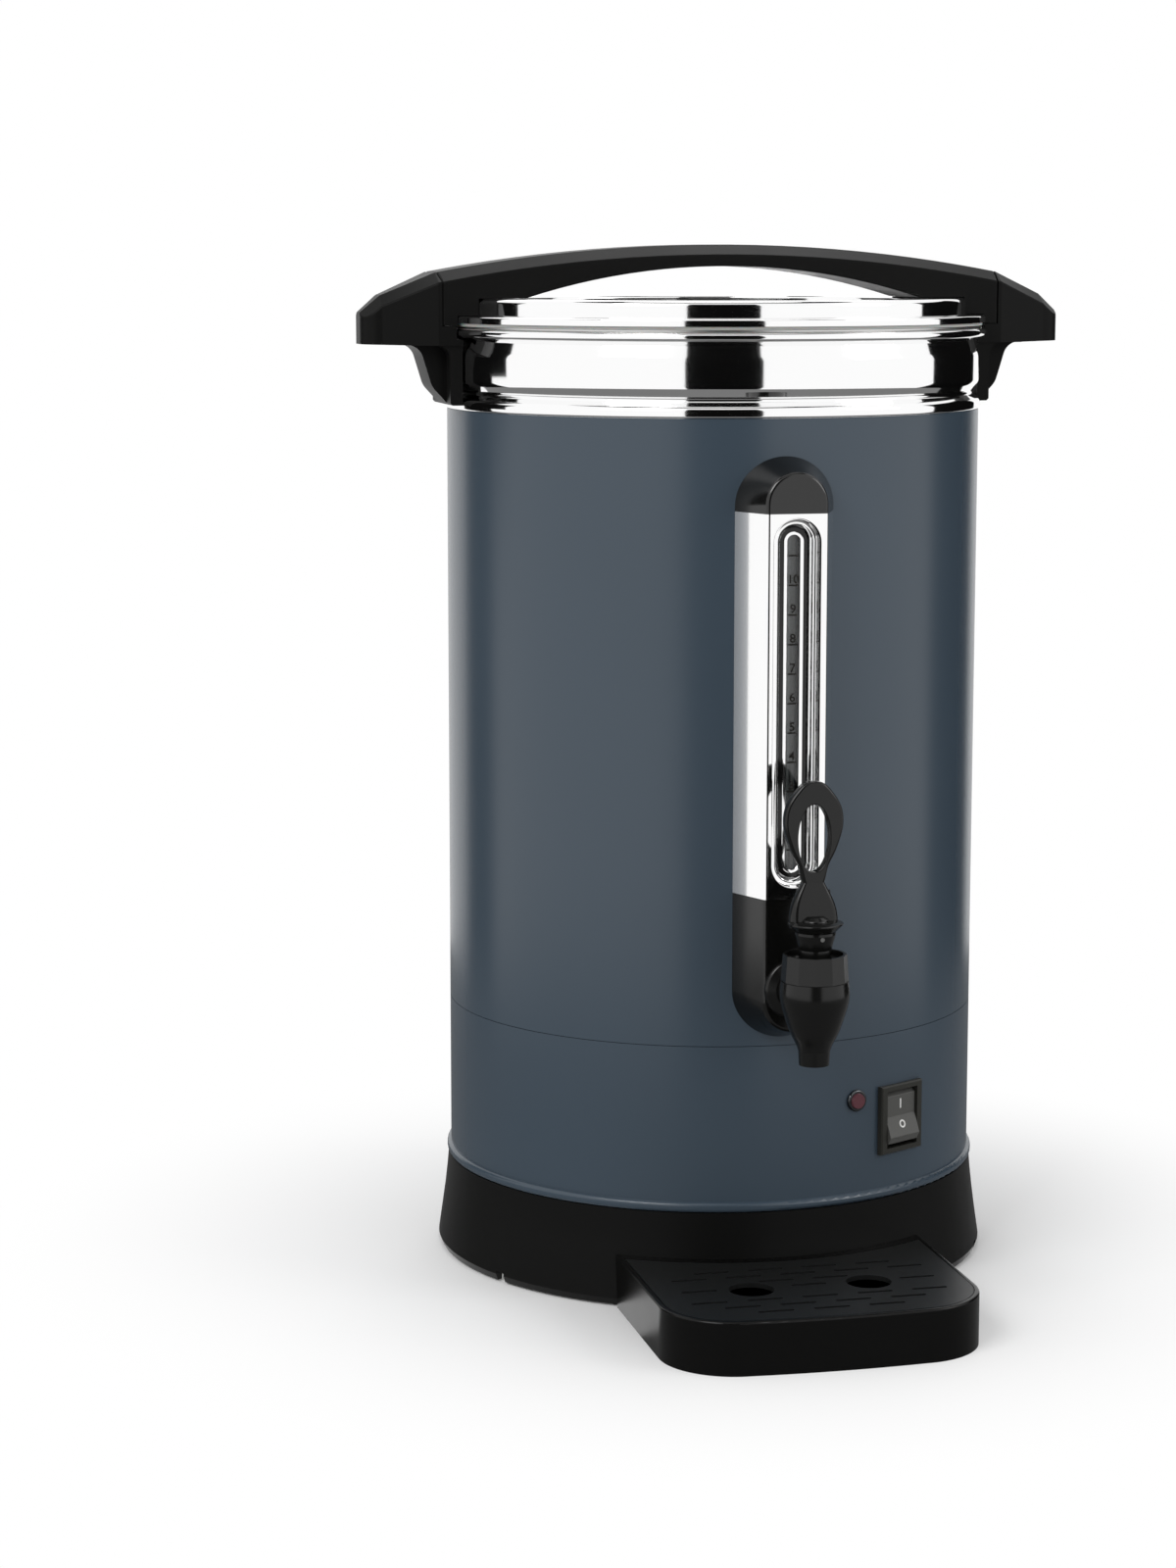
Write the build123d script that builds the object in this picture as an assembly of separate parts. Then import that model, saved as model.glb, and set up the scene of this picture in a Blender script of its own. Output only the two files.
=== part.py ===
from build123d import *
import os
from math import sqrt

# Percolating coffee urn, in millimetres. +Z is up and the origin lies on the counter, on the drum's axis.
# The tap, gauge and drip tray face -Y, the carrying handles lie on X and the power inlet faces +Y.

# ---------------------------------------------------------------- clearances
SEAT = 0.15          # between pieces of one body that rest on each other
SLIP = 0.4           # between pieces that move past each other
RUN = 0.05           # radial clearance of a pin, stem or screw in its hole

# ---------------------------------------------------------------- drum, skirt and collar
DRUM_R = 130.0       # outside radius of the painted shells
SHEET = 0.8          # sheet steel of the shells, the collar and the tank
FOOT_GAP = 0.8       # skirt's bottom edge above the counter
SKIRT_H = 45.7
SKIRT_WALL = 2.6
SKIRT_FLARE = 7.0    # how far the skirt's foot stands out past the drum
NOTCH_W = 5.5        # drain notches in the skirt's bottom edge
NOTCH_H = 4.5
NOTCH_AZIMUTH = 62.5
LOWER_SHELL_H = 79.8
UPPER_SHELL_H = 292.2
LAP = 7.0            # spigot that locates one shell in the next
BEAD_H = 4.4         # rolled bead at the lower shell's foot
BEAD_OUT = 1.9
COLLAR_BEAD_H = 4.4
COLLAR_BEAD_OUT = 0.9
GROOVE_DEPTH = 3.2
GROOVE_H = 8.4
BAND_H = 13.6        # straight polished band, which the carrying handles are screwed to
BAND_OUT = 0.4
NECK_H = 8.0
NECK_IN = 1.7
RIM_H = 4.4          # rolled rim
RIM_OUT = 3.8

SKIRT_TOP = FOOT_GAP + SKIRT_H
SEAM_Z = SKIRT_TOP + LOWER_SHELL_H
SHELL_TOP = SEAM_Z + UPPER_SHELL_H
GROOVE_Z = SHELL_TOP + COLLAR_BEAD_H
BAND_Z = GROOVE_Z + GROOVE_H
NECK_Z = BAND_Z + BAND_H
RIM_Z = NECK_Z + NECK_H
RIM_TOP = RIM_Z + RIM_H
RIM_R = DRUM_R + RIM_OUT

# ---------------------------------------------------------------- base
COVER_Z = 3.2        # underside of the bottom cover
COVER_T = 1.0
VENT_COUNT = 12
VENT_RING_R = 78.0
VENT_SIZE = (26.0, 3.2)
FOOT_R = 9.0
FOOT_INSET = 18.0    # feet's ring in from the drum's radius
FOOT_NECK_R = 3.6
BOSS_R = 5.0
BOSS_INSET = 9.0     # screw bosses' ring in from the drum's radius
SCREW_R = 1.6        # self-tapping screws of the base, lid, gauge and inlet
SCREW_HEAD_R = 3.3
SCREW_HEAD_H = 1.8
SHORT_SCREW_L = 9.0
INLET_SCREW_L = 10.0
BASE_SCREW_L = 14.0

FOOT_RING_R = DRUM_R - FOOT_INSET
BOSS_RING_R = DRUM_R - BOSS_INSET

# ---------------------------------------------------------------- tank and heater
TANK_GAP = 5.5       # from the drum's outside to the tank's outside
TANK_FLOOR = 4.2     # underside of the tank floor above the shells' seam
TANK_CORNER = 12.0
WELL_R = 45.0        # heating well in the tank's floor
WELL_DEPTH = 6.0
LIP_OUT = 1.0        # tank lip over the rolled rim, past the drum's radius
SUPPORT_T = 1.2
WINDOW_W = 120.0     # openings in the support's wall, which the electrics reach through
WINDOW_TURN = 10.0   # azimuth of the first opening
WINDOW_MARGIN = 12.0  # support left above and below each opening
HEATER_T = 4.8
ELEMENT_RING_R = 34.0
ELEMENT_R = 4.2
ELEMENT_ARC = 310.0  # degrees of the element's bent part
COLD_END_L = 12.0
COLD_PIN_R = 1.6
COLD_PIN_L = 7.0
THERMOSTAT_R = 12.0
THERMOSTAT_H = 8.0
CUTOUT_R = 8.0
CUTOUT_H = 6.0
CUTOUT_GAP = 18.0    # from the well's wall to the cut-out
TAB_L = 8.0          # tab terminals of the controls and the switch
TAB_W = 6.2
TAB_T = 0.8

TANK_R = DRUM_R - TANK_GAP
TANK_IN_R = TANK_R - SHEET
TANK_Z = SEAM_Z + TANK_FLOOR
WELL_Z = TANK_Z - WELL_DEPTH
LIP_Z = RIM_TOP + SEAT + SHEET
HEATER_Z = WELL_Z - SEAT - HEATER_T

# ---------------------------------------------------------------- lid
LID_SHEET = 0.9
SEAL_H = 3.75
SEAL_W = 6.0
DRUM_LID_H = 8.1     # raised drum of the lid above its brim
LID_INSET = 6.6      # from the shells' radius in to the lid's raised drum
BRIM_OUT = 3.4       # brim's edge past the shells' radius
HEM_H = 3.3
LID_RING_W = 22.3    # flat ring round the sunk panel, where the handle stands
PANEL_SINK = 12.1
LOCATOR_DROP = 14.0  # skirt that centres the lid in the tank
VENT_HOLE_R = 2.0

SEAL_Z = LIP_Z + SEAT
BRIM_Z = SEAL_Z + SEAL_H + SEAT
LID_TOP = BRIM_Z + LID_SHEET + DRUM_LID_H
LID_R = DRUM_R - LID_INSET
BRIM_R = DRUM_R + BRIM_OUT
PANEL_R = LID_R - LID_RING_W

# ---------------------------------------------------------------- arched lid handle and carrying handles
ARCH_RISE = 25.6     # crown above the lid's flat ring
ARCH_THICK = 10.4    # depth of the arch at its crown
ARCH_TOP_R = 760.0
ARCH_FOOT = 25.4     # length of its feet, in from the edge of the lid's raised drum
ARCH_W = 48.0        # width across its lower part, which the carrying handles share
ARCH_TOP_W = 28.0
BEVEL_H = 5.0
HANDLE_ROUND = 1.2   # moulded rounding of the handles' edges
JOINT_OUT = 10.5     # arch's round-cut ends past the drum's radius
GRIP_OUT = 35.0      # carrying handles' tips past the arch's ends
GRIP_DROP = 19.1     # their tips' flat top below the joint with the arch
HANDLE_END_W = 24.0
HANDLE_END_ROUND = 9.0
WEB_W = 25.0         # bracket web under the grip
FLANGE_OUT = 5.0     # mounting flange past the drum's radius
HANDLE_SCREW_R = 2.0
HANDLE_SCREW_X = 8.0  # screws to each side of the web's middle
HANDLE_SCREW_L = 13.0
HANDLE_HEAD_R = 3.4
HANDLE_HEAD_H = 2.0

JOINT_R = DRUM_R + JOINT_OUT
HANDLE_REACH = JOINT_R + GRIP_OUT
HANDLE_SCREW_Z = (BAND_Z + NECK_Z) / 2

# ---------------------------------------------------------------- gauge column
GAUGE_DEPTH = 20.0   # front face past the drum
GAUGE_W = 47.0       # width against the drum
GAUGE_FRONT_W = 28.4
COVER_DROP = 42.2    # top of the polished cover below the shells' top
HOUSING_H = 46.0     # lower housing, seam to the centre of its round foot
HOUSING_ABOVE_SEAM = 27.2
GAUGE_WALL = 1.6
GAUGE_EDGE = 2.0
SLOT_W = 22.6
SLOT_END = 4.6       # solid cover left below the slot
SLOT_TOP = 1.9
FRAME_SINK = 0.6     # window frame's front edge behind the cover's face
FRAME_DEPTH = 7.9    # its back, behind the same face
FRAME_RIM = 0.35     # flat edge outside the upper slope
FRAME_SLOPE_W = 1.25
FRAME_SLOPE_T = 2.5
FRAME_LEDGE_W = 1.1  # flat between the upper and the lower slope
FRAME_LIP_W = 13.4   # opening for the lens
LENS_T = 1.4
LENS_RIB_W = 9.2
LENS_RIB_T = 1.5
LENS_RIB_UP = 0.6
TUBE_R = 4.6
TUBE_WALL = 1.4
TUBE_BACK = 12.8     # tube's axis behind the front face
SEAL_T = 2.6
SCALE_W = 13.0
TOP_SCREW_UP = 13.0  # gauge screws above the cover and below the centre of the round foot
LOW_SCREW_DOWN = 12.0
CAP_CENTRE_UP = 2.0  # centre of the cap's round end above the cover, at the drum and at the front
CAP_FRONT_UP = 4.2
SOCKET_TOP_UP = 22.0  # the fitting's socket above the shank's axis
TUBE_FOOT_UP = 11.5

GAUGE_FRONT = DRUM_R + GAUGE_DEPTH
FOOT_ARC_Z = SEAM_Z + HOUSING_ABOVE_SEAM
COVER_BOTTOM = FOOT_ARC_Z + HOUSING_H
COVER_TOP = SHELL_TOP - COVER_DROP
COVER_LEN = COVER_TOP - COVER_BOTTOM
TUBE_Y = GAUGE_FRONT - TUBE_BACK

# ---------------------------------------------------------------- tap
TAP_OUT = 33.3       # tap's axis in front of the gauge column's face
TAP_ABOVE_SEAM = 31.3
SHANK_R = 6.5
SHANK_BORE_R = 4.2
SHANK_INSIDE = 14.0  # shank's length inside the tank
SHANK_NUT_R = 10.0   # across its flats, halved
SHANK_NUT_H = 6.0
WASHER_R = 11.0
WASHER_T = 2.5
TAP_FLANGE_R = 14.2
TAP_FLANGE_T = 4.4
BOSS_TAP_R = 9.0
SPOUT_R = 6.9
SPOUT_BORE_R = 4.5
SPOUT_DROP = 28.3    # spout's mouth below the shank's axis
BELLY_R = 15.9
CHAMBER_R = 9.5
CHAMBER_FLOOR = -12.3
BODY_TOP = 10.5      # shoulder that the ring nut turns down on
BODY_NECK_R = 11.4
NECK_SEAT = 17.0     # top of the body's neck
NUT_R = 14.4
NUT_H = 12.2
NUT_SIDES = 12
LIP_T = 1.2
NECK_FLANGE_T = 1.3
NECK_CUP_H = 14.65   # neck above its flange, up to the rim that the lever rocks on
NECK_TOP_R = 9.3
NECK_LOW_R = 7.4
STEM_R = 1.9
SEAT_CUP_R = 7.6
SEAT_CUP_H = 9.0
SPRING_R = 4.6
SPRING_WIRE = 0.8
SPRING_TURNS = 5
LEVER_GAP = 0.3      # neck's rim to the underside of the lever's rocking flange
LEVER_FLANGE_R = 12.6
HUB_R = 4.4
HUB_DEPTH = 6.2
PIN_R = 1.0
PIN_DEPTH = 2.0      # lever pin below the rocking flange's underside
PIN_PLAY = 0.4
LEVER_H = 67.4       # from the rocking flange to the top of the loop
LEVER_BACK = 5.0     # loop's middle plane behind the tap's axis
PADDLE_BACK = 3.0    # the paddle's, where it meets the flange
PADDLE_T = 8.4
FLANGE_RISE = 3.1    # the flange's lens-shaped rim above its seat on the neck
DOME_R = 6.2         # dome over the stem's head, in front of the paddle
DOME_H = 6.6
LOOP_W = 27.5
LOOP_CROWN = 17.9    # from the loop's widest place to its top
LOOP_NECK_H = 21.5   # slimmest place above the rocking flange
LOOP_NECK_W = 9.9
LOOP_T = 5.5
LOOP_ROUND = 1.4     # rounding of the loop's outer rim
EYE_ROUND = 0.5
STUD_R = 1.3         # stud on the paddle's right edge
STUD_OUT = 8.1
STUD_UP = 16.3
EYE_W = 15.0
EYE_L = 30.9
EYE_EDGE = 10.4      # loop left above the eye

TAP_Y = GAUGE_FRONT + TAP_OUT
TAP_Z = SEAM_Z + TAP_ABOVE_SEAM
NECK_TOP = NECK_SEAT + SEAT + NECK_FLANGE_T + NECK_CUP_H
LEVER_BASE = NECK_TOP + LEVER_GAP

# ---------------------------------------------------------------- switch, lamp and inlet
SWITCH_AZIMUTH = 29.4
SWITCH_UP = 38.0     # middles of the switch, the lamp and the inlet above the skirt's top
SWITCH_W = 28.2
SWITCH_H = 33.2
SWITCH_PROUD = 2.3
SWITCH_BODY_W = 22.0
SWITCH_BODY_H = 31.0
SWITCH_DEPTH = 22.0
WELL_W = 20.8
WELL_H = 27.8
WELL_D = 14.0
ROCKER_SWING = 20.0  # degrees from one stop to the other
ROCKER_PIVOT = 6.5   # pivot below the bezel's face
AXLE_R = 1.5
LAMP_AZIMUTH = 17.4
LAMP_UP = 49.8
LAMP_R = 5.2
LAMP_LENS_R = 3.8
LAMP_WALL = 0.8
LAMP_DEPTH = 14.0
INLET_UP = 39.5
INLET_FLANGE = (50.0, 22.4)
INLET_BODY = (28.0, 20.4)
INLET_SOCKET = (24.6, 16.6)
INLET_DEPTH = 26.0
SOCKET_DEPTH = 19.0
PIN_LENGTH = 14.0
INLET_SCREW_X = 20.0
INLET_PROUD = 2.6
BLADE_W = 4.0
BLADE_T = 2.0

SWITCH_Z = SKIRT_TOP + SWITCH_UP
LAMP_Z = SKIRT_TOP + LAMP_UP
INLET_Z = SKIRT_TOP + INLET_UP

# ---------------------------------------------------------------- percolator
PUMP_R = 6.0
PUMP_WALL = 0.9
PUMP_GAP = 12.3      # riser's top below the lid's sunk panel
PUMP_FOOT_GAP = 7.0  # riser's bell to the heating well's wall
PUMP_FOOT_H = 17.0
BASKET_R = 100.0
BASKET_H = 95.0
BASKET_DROP = 27.3   # basket's top below the collar's rim
BASKET_RIM = 4.0
SLEEVE_H = 89.0
COLLAR_DISC_R = 14.0
COLLAR_DISC_H = 3.4
HOLE_R = 1.6

PUMP_TOP = LID_TOP - PANEL_SINK - LID_SHEET - PUMP_GAP
PUMP_FOOT_R = WELL_R - PUMP_FOOT_GAP
BASKET_TOP = RIM_TOP - BASKET_DROP
BASKET_Z = BASKET_TOP - BASKET_H

# ---------------------------------------------------------------- drip tray
TRAY_W = 150.0
TRAY_OUT = 46.7      # tray's front edge in front of the tap's axis
TRAY_H = 25.0
TRAY_CORNER = 34.0
TRAY_WALL = 2.2
TRAY_FLOOR = 2.4
TRAY_BOW = 1.6       # how far the front edge bows out
TRAY_ROUND = 1.2
GRILLE_T = 2.2
GRILLE_LEDGE = 1.6
SLOT_LEN = 17.0
SLOT_GAP_W = 2.2
SLOT_PITCH_X = 26.0
SLOT_PITCH_Y = 9.1
FINGER_R = 10.5
FINGER_X = 28.0
FINGER_BACK = 2.3    # finger holes behind the tap's axis
SLOT_MARGIN = 15.0   # first row of slots behind the tray's front edge

TRAY_REACH = TAP_Y + TRAY_OUT
FINGER_Y = TAP_Y - FINGER_BACK
FIRST_SLOT_Y = TRAY_REACH - SLOT_MARGIN


# ---------------------------------------------------------------- shared forms
def outline(points, radii=None):
    """Closed flat face through the points, with each corner rounded by its radius."""
    if radii is None:
        return make_face(Polyline(*points, close=True))
    return make_face(FilletPolyline(*points, radius=radii, close=True))


def turned(points, radii=None):
    """Body of revolution about Z from (radius, height) points."""
    return revolve(Plane.XZ * outline(points, radii), Axis.Z)


def ring(r_out, r_in, z_low, z_high):
    """Upright ring or tube about Z."""
    return Pos(0, 0, z_low) * extrude(Circle(r_out) - Circle(r_in), z_high - z_low)


def disc(radius, z_low, z_high):
    """Upright solid cylinder about Z."""
    return Pos(0, 0, z_low) * extrude(Circle(radius), z_high - z_low)


def block(x, y, z):
    """Box between two limits on each axis."""
    size = (x[1] - x[0], y[1] - y[0], z[1] - z[0])
    return Pos((x[0] + x[1]) / 2, (y[0] + y[1]) / 2, (z[0] + z[1]) / 2) * Box(*size)


def upright(face, y_back, y_front):
    """Face drawn in X and Z, extruded from y_back to y_front."""
    return extrude(Plane.XZ.offset(-y_back) * face, y_back - y_front)


def barrel(radius, y_back, y_front, x=0.0, z=0.0):
    """Solid cylinder along Y."""
    return Pos(x, 0, z) * upright(Circle(radius), y_back, y_front)


def turn(shape, azimuth):
    """Swing a shape about the drum's axis; positive turns the front towards +X."""
    return Rot(0, 0, azimuth) * shape


def at_tap(shape):
    """Move a shape drawn about the Z axis, heights from the shank's axis, to the tap."""
    return Pos(0, -TAP_Y, TAP_Z) * shape


def pan_screw(length, head_r=SCREW_HEAD_R, head_h=SCREW_HEAD_H, shank_r=SCREW_R):
    """Screw along +Z with the underside of its domed head at the origin."""
    head = revolve(
        Plane.XZ * outline([(0, 0), (head_r, 0), (head_r, -head_h), (0, -head_h)], [0, 0, head_h * 0.6, 0]),
        Axis.Z,
    )
    return head + disc(shank_r, 0, length)


def skirt_radius(z):
    """Outside radius of the flared skirt at a height."""
    share = (SKIRT_TOP - z) / SKIRT_H
    return DRUM_R + 1.2 + (SKIRT_FLARE - 1.2) * share ** 1.25


def skirt_inner_radius(z):
    """Inside radius of the skirt's straight inner wall at a height."""
    low = skirt_radius(FOOT_GAP) - SKIRT_WALL - 1.5
    high = skirt_radius(SKIRT_TOP) - SKIRT_WALL
    return low + (high - low) * (z - FOOT_GAP) / (SKIRT_H - SKIRT_WALL)


# ---------------------------------------------------------------- base
def base_skirt():
    """Flared moulded skirt with a shelf and spigot for the lower shell and bosses for the cover."""
    heights = [SKIRT_TOP - SKIRT_H * share for share in (0.35, 0.7, 0.93)]
    outer = Spline((skirt_radius(SKIRT_TOP), SKIRT_TOP), *[(skirt_radius(z), z) for z in heights])
    foot = (skirt_radius(heights[-1]) - 1.2, FOOT_GAP)
    inner = [(skirt_inner_radius(z), z) for z in (FOOT_GAP, SKIRT_TOP - SKIRT_WALL)]
    shelf_r = DRUM_R - 12
    spigot_r = DRUM_R - SHEET - SEAT
    rest = Polyline(
        outer @ 1, foot, *inner, (shelf_r, SKIRT_TOP - SKIRT_WALL), (shelf_r, SKIRT_TOP),
        (spigot_r - SKIRT_WALL, SKIRT_TOP), (spigot_r - SKIRT_WALL, SKIRT_TOP + LAP),
        (spigot_r, SKIRT_TOP + LAP), (spigot_r, SKIRT_TOP), outer @ 0,
    )
    skirt = revolve(Plane.XZ * make_face(outer + rest), Axis.Z)
    for step in range(4):
        boss = disc(BOSS_R, COVER_Z + COVER_T + SEAT, SKIRT_TOP - 1)
        boss -= disc(SCREW_R + RUN, 0, COVER_Z + BASE_SCREW_L + 2)
        skirt += turn(Pos(0, -BOSS_RING_R, 0) * boss, 90 * step)
    for azimuth in (NOTCH_AZIMUTH, -NOTCH_AZIMUTH, 180 - NOTCH_AZIMUTH, 180 + NOTCH_AZIMUTH):
        reach = DRUM_R + SKIRT_FLARE
        notch = block((-NOTCH_W / 2, NOTCH_W / 2), (-reach - 2, -reach + 8), (-1, FOOT_GAP + NOTCH_H))
        skirt -= turn(notch, azimuth)
    return skirt


def bottom_cover():
    """Sheet cover under the skirt with a ring of vents, screw holes and foot holes."""
    radius = skirt_inner_radius(COVER_Z + COVER_T) - 0.3
    cover = disc(radius, COVER_Z, COVER_Z + COVER_T)
    for step in range(VENT_COUNT):
        vent = Pos(0, -VENT_RING_R, COVER_Z) * extrude(Rot(0, 0, 90) * SlotOverall(*VENT_SIZE), COVER_T)
        cover -= turn(vent, 360 / VENT_COUNT * step)
    for step in range(4):
        cover -= turn(Pos(0, -BOSS_RING_R, 0) * disc(SCREW_R + 0.3, 0, COVER_Z + 2 * COVER_T), 90 * step)
        cover -= turn(Pos(0, -FOOT_RING_R, 0) * disc(FOOT_NECK_R, 0, COVER_Z + 2 * COVER_T), 45 + 90 * step)
    return cover


def base_feet():
    """Four rubber feet plugged into the bottom cover."""
    top = COVER_Z + COVER_T
    neck = FOOT_NECK_R - RUN
    foot = turned(
        [(0, 0), (FOOT_R, 0), (FOOT_R, COVER_Z - SEAT), (neck, COVER_Z - SEAT), (neck, top + SEAT),
         (neck + 0.9, top + SEAT), (neck - 0.6, top + 2.4), (0, top + 2.4)],
        [0, 0.8, 0.4, 0, 0, 0, 0, 0],
    )
    return [turn(Pos(0, -FOOT_RING_R, 0) * foot, 45 + 90 * step) for step in range(4)]


def base_screws():
    """Four screws that hold the bottom cover to the skirt's bosses."""
    screw = Pos(0, -BOSS_RING_R, COVER_Z - SEAT) * pan_screw(BASE_SCREW_L)
    return [turn(screw, 90 * step) for step in range(4)]


# ---------------------------------------------------------------- shells and collar
def shell_lower():
    """Lower painted shell: bead at the foot, joggled spigot at the top, openings for the electrics."""
    foot = SKIRT_TOP + SEAT
    top = SEAM_Z - SEAT
    inner = DRUM_R - SHEET
    spigot = inner - SEAT
    shell = turned(
        [(inner, foot), (DRUM_R + BEAD_OUT, foot), (DRUM_R + BEAD_OUT, foot + BEAD_H),
         (DRUM_R, foot + BEAD_H + 0.4), (DRUM_R, top), (spigot, top), (spigot, top + LAP),
         (spigot - SHEET, top + LAP),
         (spigot - SHEET, top - SHEET), (inner, top - SHEET)],
        [0, 1.8, 1.8, 0, 0, 0, 0, 0, 0, 0],
    )
    play = 0.3
    body = (SWITCH_BODY_W / 2 + play, SWITCH_BODY_H / 2 + play)
    shell -= turn(block((-body[0], body[0]), (-DRUM_R - 5, -DRUM_R + 15),
                        (SWITCH_Z - body[1], SWITCH_Z + body[1])), SWITCH_AZIMUTH)
    shell -= turn(barrel(LAMP_LENS_R + LAMP_WALL + play, -DRUM_R + 15, -DRUM_R - 5, z=LAMP_Z), LAMP_AZIMUTH)
    half = (INLET_BODY[0] / 2 + play, INLET_BODY[1] / 2 + play)
    inlet = block((-half[0], half[0]), (-DRUM_R - 5, -DRUM_R + 15), (INLET_Z - half[1], INLET_Z + half[1]))
    for side in (-1, 1):
        inlet += barrel(SCREW_R + 0.3, -DRUM_R + 15, -DRUM_R - 5, x=side * INLET_SCREW_X, z=INLET_Z)
    return shell - turn(inlet, 180)


def shell_upper():
    """Upper painted shell with the holes for the tap's shank and the gauge's screws."""
    shell = ring(DRUM_R, DRUM_R - SHEET, SEAM_Z + SEAT, SHELL_TOP - SEAT)
    shell -= barrel(SHANK_R + 0.3, -DRUM_R + 15, -DRUM_R - 5, z=TAP_Z)
    for height in gauge_screw_heights():
        shell -= barrel(SCREW_R + 0.3, -DRUM_R + 15, -DRUM_R - 5, z=height)
    return shell


def rim_collar():
    """Polished collar: spigot, bead, groove, straight band, neck and rolled rim."""
    spigot = DRUM_R - SHEET - SEAT
    band_r = DRUM_R + BAND_OUT
    groove_r = DRUM_R - GROOVE_DEPTH
    neck_r = DRUM_R - NECK_IN
    bead_r = DRUM_R + COLLAR_BEAD_OUT
    groove_mid = GROOVE_Z + GROOVE_H * 0.4
    outer = [(spigot, SHELL_TOP - LAP), (spigot, SHELL_TOP), (bead_r, SHELL_TOP), (bead_r, GROOVE_Z),
             (groove_r, groove_mid), (band_r, BAND_Z), (band_r, NECK_Z), (neck_r, RIM_Z),
             (RIM_R, RIM_Z), (RIM_R, RIM_TOP)]
    inner = [(neck_r - SHEET, RIM_TOP), (neck_r - SHEET, RIM_Z), (band_r - SHEET, NECK_Z),
             (band_r - SHEET, BAND_Z), (groove_r - SHEET, groove_mid), (spigot - SHEET, GROOVE_Z - 1),
             (spigot - SHEET, SHELL_TOP - LAP)]
    round_rim = RIM_H / 2 - 0.1
    radii = [0, 0, 1.2, 2.0, 2.0, 2.0, 2.0, 0.6, round_rim, round_rim] + [0] * len(inner)
    collar = turned(outer + inner, radii)
    for side in (-1, 1):
        for offset in (-HANDLE_SCREW_X, HANDLE_SCREW_X):
            hole = Rot(0, 90 * side, 0) * disc(HANDLE_SCREW_R + 0.3, DRUM_R - 20, DRUM_R + 20)
            collar -= Pos(0, offset, HANDLE_SCREW_Z) * hole
    return collar


# ---------------------------------------------------------------- tank and heater
def tank():
    """Deep-drawn tank with a heating well in its floor and a lip over the rolled rim."""
    lip_r = DRUM_R + LIP_OUT
    lip_z = RIM_TOP + SEAT
    floor = TANK_Z + SHEET
    body = turned(
        [(0, WELL_Z), (WELL_R + SHEET, WELL_Z), (WELL_R + SHEET, TANK_Z), (TANK_R, TANK_Z), (TANK_R, lip_z),
         (lip_r, lip_z), (lip_r, lip_z + SHEET), (TANK_IN_R, lip_z + SHEET), (TANK_IN_R, floor),
         (WELL_R, floor), (WELL_R, WELL_Z + SHEET), (0, WELL_Z + SHEET)],
        [0, 2, 0, TANK_CORNER, 0, 0, 0, 0, TANK_CORNER - SHEET, 0, 2, 0],
    )
    return body - barrel(SHANK_R + 0.2, -TANK_R + 20, -TANK_R - 5, z=TAP_Z)


def tank_support():
    """Pressed ring on four broad legs that stands on the skirt's shelf and carries the tank's floor."""
    foot = SKIRT_TOP + SEAT
    top = TANK_Z - SEAT
    out = DRUM_R - SHEET - 2 * SEAT - SKIRT_WALL - 0.5
    support = turned(
        [(out, foot), (out, foot + SUPPORT_T), (out - 10, foot + SUPPORT_T), (out - 14, top),
         (out - 26, top), (out - 26, top - SUPPORT_T), (out - 15.2, top - SUPPORT_T), (out - 11.2, foot)],
        [0, 0, 2, 2, 0, 0, 2, 2],
    )
    heights = (foot + WINDOW_MARGIN, top - WINDOW_MARGIN)
    window = block((-WINDOW_W / 2, WINDOW_W / 2), (-DRUM_R, -DRUM_R / 2), heights)
    for step in range(4):
        support -= turn(window, WINDOW_TURN + 90 * step)
    return support


def heater_plate():
    """Aluminium plate clamped under the heating well."""
    plate = disc(WELL_R - 1, HEATER_Z, HEATER_Z + HEATER_T)
    groove_section = Plane.XZ * Pos(ELEMENT_RING_R, 0) * Circle(ELEMENT_R + RUN)
    groove = Pos(0, 0, HEATER_Z) * revolve(groove_section, Axis.Z)
    return plate - groove


def heating_element():
    """Sheathed element bent round in the plate's groove, its two cold ends turned down."""
    body = Pos(0, 0, HEATER_Z) * revolve(
        Plane.XZ * Pos(ELEMENT_RING_R, 0) * Circle(ELEMENT_R), Axis.Z, revolution_arc=ELEMENT_ARC)
    end = Sphere(ELEMENT_R) + disc(ELEMENT_R, -COLD_END_L, 0)
    end += disc(COLD_PIN_R, -COLD_END_L - COLD_PIN_L, -COLD_END_L)
    for azimuth in (0, ELEMENT_ARC):
        body += Rot(0, 0, azimuth) * Pos(ELEMENT_RING_R, 0, HEATER_Z) * end
    return body


def snap_disc(radius, height, top):
    """Round snap-action control: cap, moulded base and two tab terminals, hung below a height."""
    body = turned(
        [(0, top), (radius, top), (radius, top - height * 0.45), (radius - 1.5, top - height * 0.45),
         (radius - 1.5, top - height), (0, top - height)],
        [0, 0.6, 0, 0, 0.6, 0],
    )
    for side in (-1, 1):
        x = side * radius * 0.5
        heights = (top - height - TAB_L, top - height + 0.5)
        body += block((x - TAB_T / 2, x + TAB_T / 2), (-TAB_W / 2, TAB_W / 2), heights)
    return body


def thermostat():
    """Brewing thermostat under the middle of the heater plate."""
    return snap_disc(THERMOSTAT_R, THERMOSTAT_H, HEATER_Z - SEAT)


def thermal_cutout():
    """Dry-boil cut-out against the tank's floor, beside the heating well."""
    return Pos(0, WELL_R + CUTOUT_R + CUTOUT_GAP, 0) * snap_disc(CUTOUT_R, CUTOUT_H, TANK_Z - SEAT)


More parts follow.
